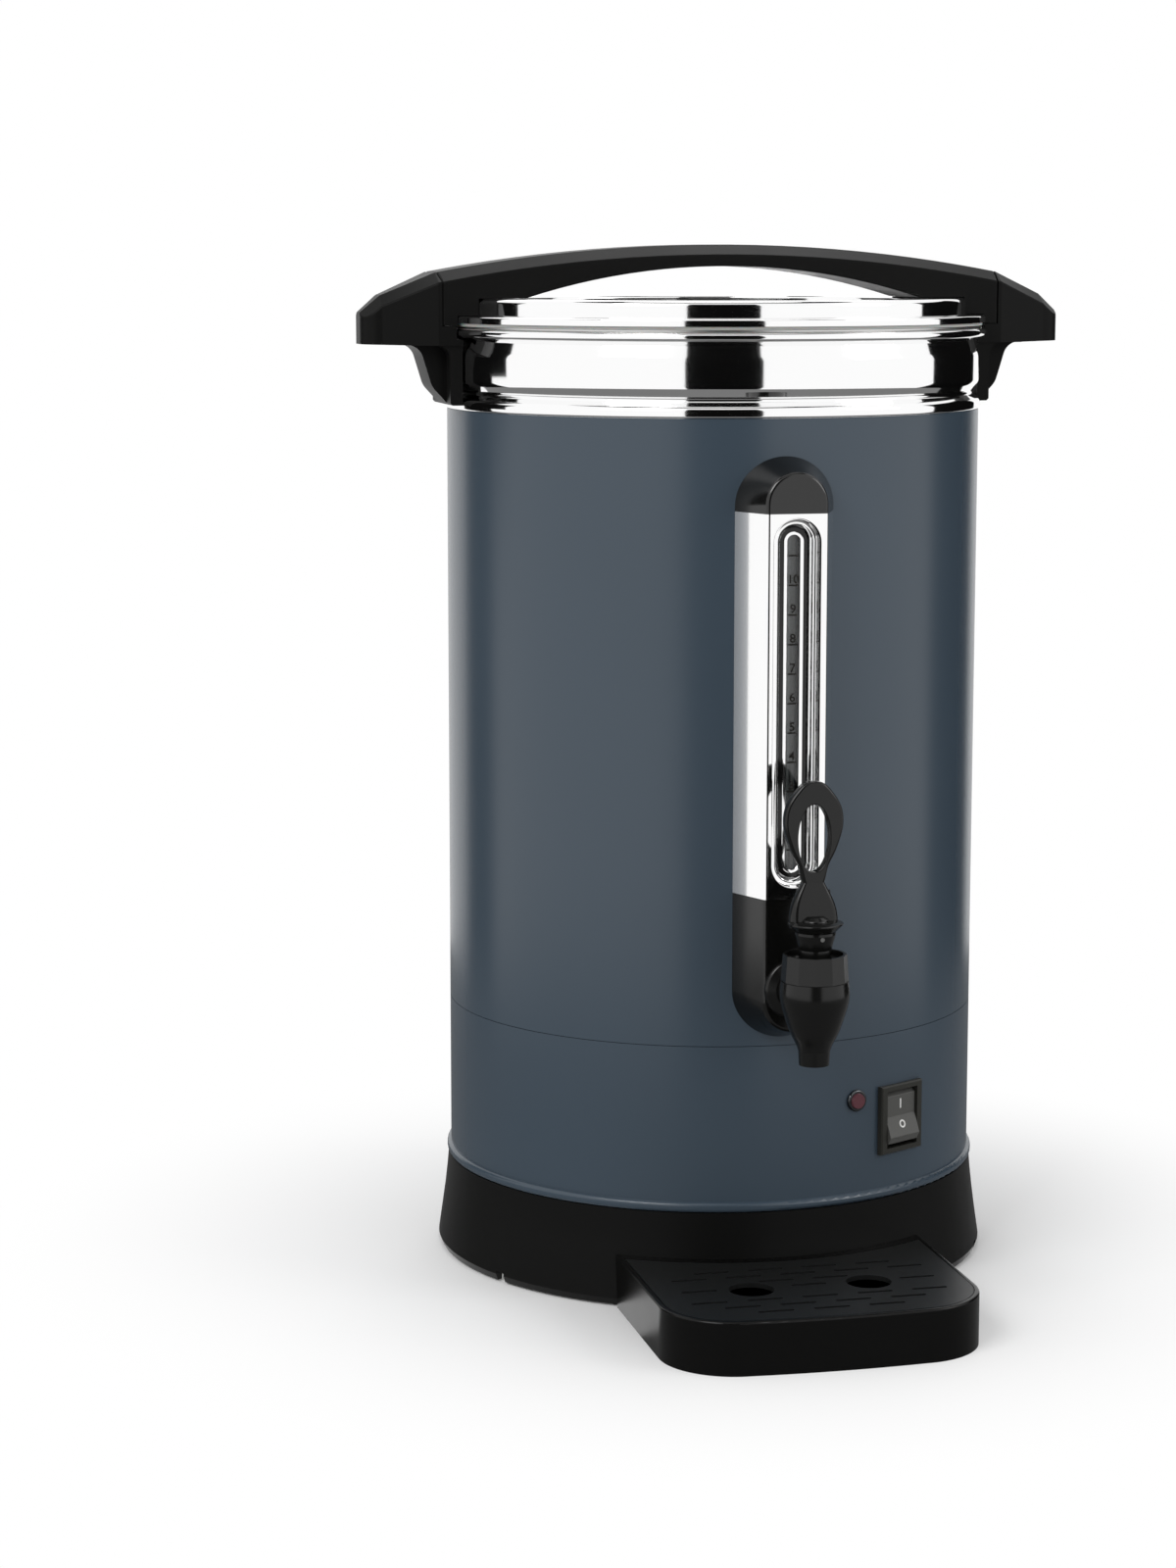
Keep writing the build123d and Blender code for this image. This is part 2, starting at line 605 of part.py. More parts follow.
# ---------------------------------------------------------------- electrics on the lower shell
def switch_housing():
    """Switch body: flat bezel on the curved shell, rocker well, and four terminals behind."""
    face = DRUM_R + SWITCH_PROUD
    half_w, half_h = SWITCH_W / 2, SWITCH_H / 2
    bezel = block((-half_w, half_w), (-face, -DRUM_R + 4), (-half_h, half_h))
    bezel -= Pos(0, 0, -half_h - 1) * disc(DRUM_R + SEAT, 0, SWITCH_H + 2)
    bezel = chamfer(bezel.faces().sort_by(Axis.Y)[0].edges(), 0.6)
    body = block((-SWITCH_BODY_W / 2, SWITCH_BODY_W / 2), (-DRUM_R - 1, -DRUM_R + SWITCH_DEPTH),
                 (-SWITCH_BODY_H / 2, SWITCH_BODY_H / 2))
    housing = bezel + body
    housing -= block((-WELL_W / 2, WELL_W / 2), (-face - 1, -face + WELL_D), (-WELL_H / 2, WELL_H / 2))
    back = -DRUM_R + SWITCH_DEPTH
    for x in (-SWITCH_BODY_W / 4, SWITCH_BODY_W / 4):
        for z in (-SWITCH_BODY_H / 4, SWITCH_BODY_H / 4):
            housing += block((x - TAB_W / 2 + 0.6, x + TAB_W / 2 - 0.6), (back - 0.5, back + TAB_L),
                             (z - TAB_T / 2, z + TAB_T / 2))
    axle = Rot(0, 90, 0) * disc(AXLE_R, -WELL_W / 2 - 1, WELL_W / 2 + 1)
    axle = Pos(0, -face + ROCKER_PIVOT, 0) * axle
    return turn(Pos(0, 0, SWITCH_Z) * (housing + axle), SWITCH_AZIMUTH)


def switch_rocker():
    """Rocker with two faces in a shallow V and bevelled ends, lying on its ON stop."""
    crease, tip, end = 5.2, (6.9, 9.8), (4.6, 12.9)
    points = [(crease, 0), tip, end, (-1.5, 10.5), (-5.5, 3.0), (-5.5, -3.0), (-1.5, -10.5),
              (end[0], -end[1]), (tip[0], -tip[1])]
    face = outline([(-out, z) for out, z in points], [0, 0.5, 0.5, 1, 2, 2, 1, 0.5, 0.5])
    width = WELL_W - 2 * SLIP
    rocker = extrude(Plane.YZ.offset(-width / 2) * face, width)
    rocker -= Rot(0, 90, 0) * disc(AXLE_R + RUN, -WELL_W, WELL_W)
    rocker = Rot(-ROCKER_SWING / 2, 0, 0) * rocker
    placed = Pos(0, -(DRUM_R + SWITCH_PROUD) + ROCKER_PIVOT, SWITCH_Z) * rocker
    return turn(placed, SWITCH_AZIMUTH)


def lamp_bezel():
    """Bright ring and barrel of the pilot lamp."""
    body = barrel(LAMP_LENS_R + LAMP_WALL, -DRUM_R + LAMP_DEPTH, -DRUM_R - 1)
    head = barrel(LAMP_R, -DRUM_R + 3, -DRUM_R - 1.6)
    head = fillet(head.edges().group_by(Axis.Y)[0], 0.7)
    head -= Pos(0, 0, -LAMP_R - 1) * disc(DRUM_R + SEAT, 0, 2 * LAMP_R + 2)
    lamp = body + head - barrel(LAMP_LENS_R + RUN, -DRUM_R + LAMP_DEPTH / 2, -DRUM_R - 5)
    return turn(Pos(0, 0, LAMP_Z) * lamp, LAMP_AZIMUTH)


def lamp_lens():
    """Domed lens pressed into the lamp's ring."""
    lens = barrel(LAMP_LENS_R, -DRUM_R + LAMP_DEPTH / 2 - SEAT, -DRUM_R - 1)
    dome = Pos(0, -DRUM_R - 1, 0) * Sphere(LAMP_LENS_R)
    dome &= barrel(LAMP_LENS_R, -DRUM_R - 1, -DRUM_R - 2.6)
    return turn(Pos(0, 0, LAMP_Z) * (lens + dome), LAMP_AZIMUTH)


def power_inlet():
    """Three-pole appliance inlet: flanged face on the shell, socket well open to the rear."""
    face = DRUM_R + INLET_PROUD
    flange = extrude(Plane.XZ * RectangleRounded(*INLET_FLANGE, 4.0), 8)
    flange = Pos(0, -face + 8, 0) * flange
    flange -= Pos(0, 0, -20) * disc(DRUM_R + SEAT, 0, 40)
    body = extrude(Plane.XZ * RectangleRounded(*INLET_BODY, 2.0), INLET_DEPTH + 1)
    body = Pos(0, -DRUM_R + INLET_DEPTH, 0) * body
    inlet = flange + body
    half_w, half_h, cut = INLET_SOCKET[0] / 2, INLET_SOCKET[1] / 2, 4.5
    socket = outline([(-half_w, half_h), (half_w, half_h), (half_w, -half_h + cut), (half_w - cut, -half_h),
                      (-half_w + cut, -half_h), (-half_w, -half_h + cut)])
    inlet -= upright(socket, -face + SOCKET_DEPTH, -face - 1)
    for side in (-1, 1):
        inlet -= barrel(SCREW_R + RUN, -DRUM_R + 8, -face - 1, x=side * INLET_SCREW_X)
    for x, z in inlet_pin_places():
        half = (BLADE_W / 2 + RUN, BLADE_T / 2 + RUN)
        inlet -= block((x - half[0], x + half[0]), (-face + SOCKET_DEPTH - 1, -DRUM_R + INLET_DEPTH + 1),
                       (z - half[1], z + half[1]))
    return turn(Pos(0, 0, INLET_Z) * inlet, 180)


def inlet_pin_places():
    """Centres of the line, earth and neutral blades across the socket."""
    side = INLET_SOCKET[0] / 2 - 5.3
    return [(-side, -1.2), (0.0, INLET_SOCKET[1] / 2 - 5.3), (side, -1.2)]


def inlet_pins():
    """Three plated blades, each running through the inlet's back wall to a tab."""
    floor = -(DRUM_R + INLET_PROUD) + SOCKET_DEPTH
    blades = []
    for x, z in inlet_pin_places():
        blade = block((x - BLADE_W / 2, x + BLADE_W / 2), (floor - PIN_LENGTH, -DRUM_R + INLET_DEPTH + TAB_L),
                      (z - BLADE_T / 2, z + BLADE_T / 2))
        blades.append(turn(Pos(0, 0, INLET_Z) * blade, 180))
    return blades


def inlet_screws():
    """Two screws through the inlet's flange into the shell."""
    screws = []
    for side in (-1, 1):
        screw = Rot(-90, 0, 0) * pan_screw(INLET_SCREW_L)
        screw = Pos(side * INLET_SCREW_X, -(DRUM_R + INLET_PROUD) - SEAT, INLET_Z) * screw
        screws.append(turn(screw, 180))
    return screws


# ---------------------------------------------------------------- gauge column
def gauge_half_width(depth):
    """Half the column's width at a distance from the drum's axis; the sides taper to the front."""
    back = sqrt(DRUM_R ** 2 - (GAUGE_W / 2) ** 2)
    share = (depth - back) / (GAUGE_FRONT - back)
    return GAUGE_W / 2 + (GAUGE_FRONT_W - GAUGE_W) / 2 * share


def gauge_screw_heights():
    """Heights of the screws that hold the column's two ends to the upper shell."""
    return [COVER_TOP + TOP_SCREW_UP, FOOT_ARC_Z - LOW_SCREW_DOWN]


def racetrack(width, z_low, z_high):
    """Upright slot outline in X and Z."""
    return Pos(0, (z_low + z_high) / 2) * Rot(0, 0, 90) * SlotOverall(z_high - z_low, width)


def rounded_end(seam, centre_back, centre_front, up):
    """Tapered end of the column: a half-round cap lofted from the drum to the front face."""
    depths = (DRUM_R - 4, GAUGE_FRONT)
    faces = []
    for depth, centre in zip(depths, (centre_back, centre_front)):
        half = gauge_half_width(depth)
        low = Polyline((-half, centre), (-half, seam), (half, seam), (half, centre))
        arc = ThreePointArc((half, centre), (0, centre + up * half), (-half, centre))
        faces.append(Plane.XZ.offset(depth) * make_face(low + arc))
    end = loft(Sketch() + faces)
    front = end.faces().sort_by(Axis.Y)[0]
    rim = [edge for edge in front.edges() if abs(edge.center().Z - seam) > 0.01]
    end = fillet(rim, GAUGE_EDGE)
    low, high = min(seam, centre_back - GAUGE_W), max(seam, centre_back + GAUGE_W)
    return end - Pos(0, 0, low - 1) * disc(DRUM_R + SEAT, 0, high - low + 2)


def gauge_top_cap():
    """Black cap over the top of the sight tube."""
    seam = COVER_TOP + SEAT
    cap = rounded_end(seam, COVER_TOP + CAP_CENTRE_UP, COVER_TOP + CAP_FRONT_UP, 1)
    cap -= Pos(0, -TUBE_Y, 0) * disc(TUBE_R + SEAL_T + SEAT, seam - 1, COVER_TOP + 6)
    return cap - barrel(SCREW_R + RUN, -DRUM_R + 5, -DRUM_R - 10, z=gauge_screw_heights()[0])


def gauge_lower_housing():
    """Black housing round the gauge fitting; the tap's shank passes through it."""
    seam = COVER_BOTTOM - SEAT
    housing = rounded_end(seam, FOOT_ARC_Z, FOOT_ARC_Z - CAP_FRONT_UP + CAP_CENTRE_UP, -1)
    half = gauge_half_width(GAUGE_FRONT) - GAUGE_WALL
    housing -= block((-half, half), (-GAUGE_FRONT + GAUGE_WALL, -DRUM_R + 10), (TAP_Z - 12, seam + 1))
    housing -= barrel(SHANK_R + 0.2, -DRUM_R + 10, -GAUGE_FRONT - 5, z=TAP_Z)
    return housing - barrel(SCREW_R + RUN, -DRUM_R + 5, -DRUM_R - 10, z=gauge_screw_heights()[1])


def gauge_cover():
    """Polished tapered channel over the sight tube, with a long round-ended slot in its front."""
    back = DRUM_R - 4
    half_back, half_front = gauge_half_width(back), gauge_half_width(GAUGE_FRONT)
    section = outline(
        [(-half_back, -back), (-half_front, -GAUGE_FRONT), (half_front, -GAUGE_FRONT), (half_back, -back)],
        [0, GAUGE_EDGE, GAUGE_EDGE, 0])
    inner_front = GAUGE_FRONT - GAUGE_WALL
    inner_half = half_front - GAUGE_WALL
    inner = outline(
        [(-half_back + GAUGE_WALL, -back + 1), (-inner_half, -inner_front), (inner_half, -inner_front),
         (half_back - GAUGE_WALL, -back + 1)])
    cover = Pos(0, 0, COVER_BOTTOM) * extrude(section - inner, COVER_LEN)
    cover -= Pos(0, 0, COVER_BOTTOM - 1) * disc(DRUM_R + SEAT, 0, COVER_LEN + 2)
    slot = racetrack(SLOT_W, COVER_BOTTOM + SLOT_END, COVER_TOP - SLOT_TOP)
    return cover - upright(slot, -DRUM_R - 5, -GAUGE_FRONT - 5)


def frame_outline(inset):
    """Round-ended outline of the window frame, an inset inside its outer edge."""
    low, high = COVER_BOTTOM + SLOT_END + SEAT, COVER_TOP - SLOT_TOP - SEAT
    return racetrack(SLOT_W - 2 * SEAT - 2 * inset, low + inset, high - inset)


def sloped_opening(mouth_inset, mouth_depth, foot_inset, foot_depth):
    """Opening in the frame that narrows from its mouth to its foot; depths from the drum's axis."""
    faces = []
    for inset, depth in ((mouth_inset, mouth_depth), (foot_inset, foot_depth)):
        faces.append(Plane.XZ.offset(depth) * frame_outline(inset))
    return loft(Sketch() + faces)


def gauge_window_frame():
    """Bright frame in the slot: two slopes with a ledge between them lead down to the lens."""
    front, back = GAUGE_FRONT - FRAME_SINK, GAUGE_FRONT - FRAME_DEPTH
    lip = lens_inset()
    ledge = front - FRAME_SLOPE_T
    ledge_out = FRAME_RIM + FRAME_SLOPE_W
    frame = upright(frame_outline(0), -back, -front)
    frame -= sloped_opening(FRAME_RIM, front, ledge_out, ledge)
    frame -= sloped_opening(ledge_out + FRAME_LEDGE_W, ledge, lip, back + LENS_T)
    return frame - upright(frame_outline(lip), -back + 1, -ledge)


def lens_inset():
    """Lens opening's edge inside the frame's outer edge."""
    return (SLOT_W - 2 * SEAT - FRAME_LIP_W) / 2


def lens_limits():
    """Lower and upper ends of the lens opening."""
    inset = SEAT + lens_inset()
    return COVER_BOTTOM + SLOT_END + inset, COVER_TOP - SLOT_TOP - inset


def gauge_lens():
    """Clear lens in the frame, with a raised round-ended rib along the sight tube."""
    low, high = lens_limits()
    back = GAUGE_FRONT - FRAME_DEPTH
    front = back + LENS_T
    plate = upright(racetrack(FRAME_LIP_W - 2 * SEAT, low + SEAT, high - SEAT), -back, -front)
    edge = (FRAME_LIP_W - LENS_RIB_W) / 2
    rib = racetrack(LENS_RIB_W, low + edge, high - edge)
    rib -= racetrack(LENS_RIB_W - 2 * LENS_RIB_T, low + edge + LENS_RIB_T, high - edge - LENS_RIB_T)
    return plate + upright(rib, -front, -front - LENS_RIB_UP)


def tube_limits():
    """Lower and upper ends of the sight tube, inside the fitting and the cap."""
    return TAP_Z + TUBE_FOOT_UP, COVER_TOP + CAP_FRONT_UP


def sight_tube():
    """Glass tube that shows the level."""
    low, high = tube_limits()
    return Pos(0, -TUBE_Y, 0) * ring(TUBE_R, TUBE_R - TUBE_WALL, low, high)


def tube_seal(z_low, z_high):
    """Ring seal round one end of the sight tube."""
    return Pos(0, -TUBE_Y, 0) * ring(TUBE_R + SEAL_T, TUBE_R + RUN, z_low, z_high)


def level_scale():
    """Thin strip behind the sight tube that carries the level marks."""
    low, high = lens_limits()
    y_back = -(DRUM_R + 0.8)
    strip = block((-SCALE_W / 2, SCALE_W / 2), (y_back - 1.0, y_back), (low, high))
    return strip


def gauge_fitting():
    """Tee on the shank: cross bore for the shank, upright socket for the sight tube."""
    front, back = GAUGE_FRONT - GAUGE_WALL - SEAT, DRUM_R + SEAT
    tee = barrel(SHANK_R + 2.6, -back, -front, z=TAP_Z)
    socket_r = TUBE_R + SEAL_T + 1.0
    socket_top = TAP_Z + SOCKET_TOP_UP
    tee += Pos(0, -TUBE_Y, 0) * disc(socket_r, TAP_Z, socket_top)
    tee -= Pos(0, 0, TAP_Z) * disc(DRUM_R + SEAT, -2 * SHANK_R, SOCKET_TOP_UP)
    tee -= barrel(SHANK_R + RUN, -DRUM_R + 5, -GAUGE_FRONT - 5, z=TAP_Z)
    low = tube_limits()[0]
    tee -= Pos(0, -TUBE_Y, 0) * disc(TUBE_R - TUBE_WALL, TAP_Z, low)
    return tee - Pos(0, -TUBE_Y, 0) * disc(TUBE_R + SEAL_T + RUN, low - SEAT, socket_top + 1)


def gauge_screws():
    """Screws from inside the upper shell into the cap and the lower housing."""
    screws = []
    for height in gauge_screw_heights():
        screw = Rot(90, 0, 0) * pan_screw(SHORT_SCREW_L)
        screws.append(Pos(0, -(DRUM_R - SHEET) + SEAT, height) * screw)
    return screws


# ---------------------------------------------------------------- tap
def tap_shank():
    """Threaded tube from the tank, through the drum and the housing, into the tap; slotted for the gauge."""
    back, front = -(TANK_IN_R - SHANK_INSIDE), -(TAP_Y - CHAMBER_R - 4)
    shank = barrel(SHANK_R, back, front, z=TAP_Z) - barrel(SHANK_BORE_R, back + 1, front - 1, z=TAP_Z)
    return shank - Pos(0, -TUBE_Y, 0) * disc(TUBE_R - TUBE_WALL, TAP_Z, TAP_Z + SHANK_R + 1)


def shank_nut():
    """Hexagon nut on the shank inside the tank."""
    back = TANK_IN_R - WASHER_T - 0.1 - SHANK_NUT_H
    nut = extrude(Plane.XZ.offset(back) * RegularPolygon(SHANK_NUT_R, 6, major_radius=False), SHANK_NUT_H)
    return Pos(0, 0, TAP_Z) * nut - barrel(SHANK_R + RUN, -back + 2, -back - SHANK_NUT_H - 2, z=TAP_Z)


def shank_washers():
    """Silicone washers that seal the shank on both sides of the tank wall, and a spacer to the shell."""
    inner = barrel(WASHER_R, -(TANK_IN_R - WASHER_T), -(TANK_IN_R + 3), z=TAP_Z)
    inner &= Pos(0, 0, TAP_Z) * disc(TANK_IN_R - SEAT, -WASHER_R, WASHER_R)
    outer = barrel(WASHER_R, -(TANK_R - 3), -(DRUM_R + 1), z=TAP_Z)
    outer &= Pos(0, 0, TAP_Z) * ring(DRUM_R - SHEET - SEAT, TANK_R + SEAT, -WASHER_R, WASHER_R)
    hole = barrel(SHANK_R + RUN, -TANK_IN_R + 20, -DRUM_R - 5, z=TAP_Z)
    return [inner - hole, outer - hole]


def tap_flange():
    """Domed trim flange between the housing and the tap."""
    back = GAUGE_FRONT + SEAT
    shape = turned(
        [(SHANK_R + RUN, 0), (TAP_FLANGE_R, 0), (TAP_FLANGE_R, 2.6), (BOSS_TAP_R + 0.6, TAP_FLANGE_T),
         (SHANK_R + RUN, TAP_FLANGE_T)],
        [0, 0, 1.6, 0.6, 0])
    return Pos(0, -back, TAP_Z) * Rot(90, 0, 0) * shape


def tap_body():
    """Barrel-shaped tap body with its inlet boss, valve chamber, seat and spout."""
    outer = Spline(
        (SPOUT_R + 0.35, -22.0), (SPOUT_R + 3.5, -14.9), (BELLY_R - 2.4, -6.6), (BELLY_R, 3.8),
        (BELLY_R - 0.5, BODY_TOP),
        tangents=((0.25, 1), (-0.12, 1)),
    )
    rest = Polyline(
        (BELLY_R - 0.5, BODY_TOP), (BODY_NECK_R, BODY_TOP), (BODY_NECK_R, NECK_SEAT), (0, NECK_SEAT),
        (0, -SPOUT_DROP), (SPOUT_R, -SPOUT_DROP), (SPOUT_R + 0.35, -22.0))
    body = revolve(Plane.XZ * make_face(outer + rest), Axis.Z)
    boss_back = TAP_Y - GAUGE_FRONT - SEAT - TAP_FLANGE_T - SEAT
    body += barrel(BOSS_TAP_R, boss_back, 0)
    body -= turned(
        [(0, CHAMBER_FLOOR), (SPOUT_BORE_R, CHAMBER_FLOOR), (CHAMBER_R - 2, CHAMBER_FLOOR),
         (CHAMBER_R, CHAMBER_FLOOR + 2), (CHAMBER_R, NECK_SEAT + 1), (0, NECK_SEAT + 1)])
    body -= disc(SPOUT_BORE_R, -SPOUT_DROP - 1, 0)
    body -= barrel(SHANK_R + RUN, boss_back + 1, CHAMBER_R + 3.6)
    return at_tap(body - barrel(SHANK_BORE_R, boss_back, 0))


def tap_ring_nut():
    """Faceted ring nut that clamps the neck on the body; its top is dished."""
    bottom, top = BODY_TOP + SEAT, BODY_TOP + SEAT + NUT_H
    low = Pos(0, 0, bottom) * RegularPolygon(BELLY_R - 0.5, NUT_SIDES, rotation=15)
    high = Pos(0, 0, top) * RegularPolygon(NUT_R + 0.1, NUT_SIDES, rotation=15)
    nut = loft(Sketch() + [low, high])
    lip_z = nut_lip_z()
    bore = turned(
        [(0, bottom - 1), (BODY_NECK_R + RUN, bottom - 1), (BODY_NECK_R + RUN, lip_z),
         (NECK_LOW_R + 0.6, lip_z), (NECK_LOW_R + 0.6, lip_z + LIP_T), (NUT_R - 1.9, lip_z + LIP_T),
         (NUT_R - 1.5, top + 1), (0, top + 1)])
    return at_tap(nut - bore)


def nut_lip_z():
    """Underside of the ring nut's clamping lip."""
    return NECK_SEAT + NECK_FLANGE_T + 2 * SEAT


def tap_neck():
    """Cup-shaped neck: flange under the ring nut, guide for the stem, rim that the lever rocks on."""
    base = NECK_SEAT + SEAT
    floor = base + NECK_FLANGE_T
    neck = turned(
        [(0, base), (BODY_NECK_R - 0.2, base), (BODY_NECK_R - 0.2, floor), (NECK_LOW_R, floor),
         (NECK_LOW_R, floor + 6.5), (NECK_TOP_R, NECK_TOP - 1.2), (NECK_TOP_R, NECK_TOP),
         (NECK_TOP_R - 1.2, NECK_TOP), (NECK_LOW_R - 0.8, floor + 7.5), (NECK_LOW_R - 1.3, floor + 1.2),
         (0, floor + 1.2)])
    return at_tap(neck - disc(STEM_R + RUN, base - 1, floor + 5))


def lever_pin_z():
    """Height of the lever's pin above the shank's axis."""
    return LEVER_BASE - PIN_DEPTH


def tap_stem():
    """Lift rod from the seat cup up into the lever, cross-drilled for the pin."""
    stem = disc(STEM_R, CHAMBER_FLOOR + 4, lever_pin_z() + 2.6)
    cup_top = CHAMBER_FLOOR + SEAT + SEAT_CUP_H
    stem += disc(STEM_R + 2.0, cup_top + RUN, cup_top + 1.2)
    cross = Pos(0, 0, lever_pin_z()) * Rot(0, 90, 0) * disc(PIN_R + 0.02, -9, 9)
    return at_tap(stem - cross)


def tap_pin():
    """Cross pin through the stem's head."""
    length = 2 * HUB_R - 0.4
    return at_tap(Pos(-length / 2, 0, lever_pin_z()) * Rot(0, 90, 0) * disc(PIN_R, 0, length))


def seat_cup():
    """Silicone cup on the stem's foot that closes the spout."""
    low = CHAMBER_FLOOR + SEAT
    cup = turned(
        [(0, low), (SEAT_CUP_R - 1.4, low), (SEAT_CUP_R, low + 3.0), (SEAT_CUP_R, low + 5.0),
         (SEAT_CUP_R - 3.2, low + SEAT_CUP_H), (0, low + SEAT_CUP_H)],
        [0, 0.8, 0, 0, 0.8, 0])
    return at_tap(cup - disc(STEM_R + 0.02, CHAMBER_FLOOR + 4, low + SEAT_CUP_H + 1))


def tap_spring():
    """Spring that presses the seat cup down: flat coils drawn as joined rings."""
    low, high = CHAMBER_FLOOR + SEAT + SEAT_CUP_H + 1.2 + SEAT, NECK_SEAT
    pitch = (high - low - SPRING_WIRE) / SPRING_TURNS
    path = Helix(pitch, high - low - SPRING_WIRE, SPRING_R - SPRING_WIRE / 2)
    path = Pos(0, 0, low + SPRING_WIRE / 2) * path
    section = Plane(path @ 0, z_dir=path % 0) * Circle(SPRING_WIRE / 2)
    return at_tap(sweep(section, path))


def lever_loop():
    """Open loop of the lever, an upright plate with rounded rims, on the tap's axis."""
    top = LEVER_BASE + LEVER_H
    widest, neck = top - LOOP_CROWN, LEVER_BASE + LOOP_NECK_H
    half, slim = LOOP_W / 2, LOOP_NECK_W / 2
    rise = widest - neck
    waist = [(slim - 2, neck - 5), (slim, neck)]
    for width, height in ((0.51, 0.27), (0.695, 0.45), (0.85, 0.64), (0.96, 0.82), (1.0, 1.0)):
        waist.append((half * width, neck + rise * height))
    side = Spline(waist, tangents=((0.1, 1), (0, 1)))
    crown = Spline((half, widest), (half * 0.82, top - 8.6), (half * 0.53, top - 3.3), (0, top),
                   tangents=((0, 1), (-1, 0)))
    right = side + crown
    foot = Line((-(slim - 2), neck - 5), (slim - 2, neck - 5))
    loop = upright(make_face(right + mirror(right, about=Plane.YZ) + foot), LOOP_T / 2, -LOOP_T / 2)
    loop = fillet(flat_rims(loop), LOOP_ROUND)
    eye = Pos(0, top - EYE_EDGE - EYE_L / 2) * Ellipse(EYE_W / 2, EYE_L / 2)
    loop -= upright(eye, LOOP_T, -LOOP_T)
    return fillet([rim for rim in flat_rims(loop) if rim.length < 3 * EYE_L], EYE_ROUND)


def lever_paddle():
    """Fan-shaped foot of the loop: rounded sections that narrow and thin up to the loop's neck."""
    wide, slim = LEVER_FLANGE_R - 1.3, LOOP_NECK_W / 2 + 0.05
    sections = []
    for share, width in ((0.06, 1.0), (0.25, 0.99), (0.42, 0.9), (0.6, 0.7), (0.8, 0.37), (1.0, 0.0)):
        thick = PADDLE_T + (LOOP_T + 0.1 - PADDLE_T) * share
        edge_r = PADDLE_T / 2 - 0.2 + (LOOP_ROUND - PADDLE_T / 2 + 0.2) * share
        back = PADDLE_BACK + (LEVER_BACK - PADDLE_BACK) * share
        oval = RectangleRounded(2 * (slim + (wide - slim) * width), thick, min(edge_r, thick / 2 - 0.1))
        sections.append(Pos(0, back, LEVER_BASE + LOOP_NECK_H * share) * oval)
    return loft(Sketch() + sections)


def tap_lever():
    """Pull lever: loop and paddle on a rocking flange, with a domed hub for the pin."""
    base = LEVER_BASE
    flange, rim = LEVER_FLANGE_R, LEVER_BASE + FLANGE_RISE
    plate = turned(
        [(0, base), (NECK_TOP_R + 0.2, base), (flange, rim), (flange, rim + 0.7), (flange - 2.4, rim + 1.2),
         (0, rim + 1.5)],
        [0, 0.3, 0.2, 0.3, 1, 0])
    dome = turned(
        [(0, rim), (DOME_R, rim), (DOME_R, rim + 1.8), (DOME_R - 2.4, base + DOME_H), (0, base + DOME_H)],
        [0, 0, 1.2, 1.6, 0])
    hub = disc(HUB_R, base - HUB_DEPTH, base + 1)
    stud = Pos(0, LEVER_BACK, base + STUD_UP) * Rot(0, 90, 0) * disc(STUD_R, LOOP_NECK_W / 2, STUD_OUT)
    lever = plate + dome + hub + lever_paddle() + Pos(0, LEVER_BACK, 0) * lever_loop() + stud
    fork = STEM_R + PIN_PLAY
    lever -= block((-fork, fork), (-HUB_R - 1, HUB_R + 1), (base - HUB_DEPTH - 1, base + 3.4))
    lever -= Pos(0, 0, lever_pin_z()) * Rot(0, 90, 0) * disc(PIN_R + PIN_PLAY, -HUB_R - 2, HUB_R + 2)
    return at_tap(lever)


def flat_rims(plate):
    """Long edges that lie in the faces of an upright plate."""
    rims = []
    for edge in plate.edges():
        size = edge.bounding_box().size
        if size.Y < 0.01 and size.Z > 1:
            rims.append(edge)
    return rims


# ---------------------------------------------------------------- lid and its handle
def lid():
    """Pressed lid: raised drum, sunk panel, brim with a hem, and a skirt that centres it in the tank."""
    t = LID_SHEET
    panel = LID_TOP - PANEL_SINK
    wall_in = PANEL_R
    locator = TANK_IN_R - 2 * SLIP
    hem = BRIM_Z + t - HEM_H
    top = [(0, panel), (wall_in, panel), (wall_in, LID_TOP), (LID_R, LID_TOP), (LID_R, BRIM_Z + t),
           (BRIM_R, BRIM_Z + t), (BRIM_R, hem)]
    under = [(BRIM_R - t, hem), (BRIM_R - t, BRIM_Z), (locator, BRIM_Z), (locator, BRIM_Z - LOCATOR_DROP),
             (locator - t, BRIM_Z - LOCATOR_DROP), (locator - t, BRIM_Z + t), (LID_R - t, BRIM_Z + t),
             (LID_R - t, LID_TOP - t), (wall_in + t, LID_TOP - t), (wall_in + t, panel - t), (0, panel - t)]
    radii = [0, 2, 2, 2.6, 0, 1.0, 0, 0, 0.1, 0, 0, 0, 0, 0, 1.7, 1.1, 2.9, 0]
    shape = turned(top + under, radii)
    for x in lid_screw_places():
        shape -= Pos(x, 0, LID_TOP) * disc(SCREW_R + 0.3, -2 * LID_SHEET, LID_SHEET)
    return shape - Pos(0, -PANEL_R * 0.7, panel) * disc(VENT_HOLE_R, -2 * LID_SHEET, LID_SHEET)


def lid_screw_places():
    """X of the screws under the two feet of the arched handle."""
    middle = LID_R - ARCH_FOOT / 2
    return [-middle, middle]


def lid_seal():
    """Ribbed silicone ring between the tank's lip and the lid's brim."""
    inner = DRUM_R + LIP_OUT - SEAL_W
    outer = DRUM_R + LIP_OUT + 0.3
    low, high = SEAL_Z, SEAL_Z + SEAL_H
    rib = (high - low) / 3
    return turned(
        [(inner, low), (outer, low), (outer, low + rib), (outer - 0.8, low + rib),
         (outer - 0.8, low + 2 * rib),
         (outer, low + 2 * rib), (outer, high), (inner, high)])


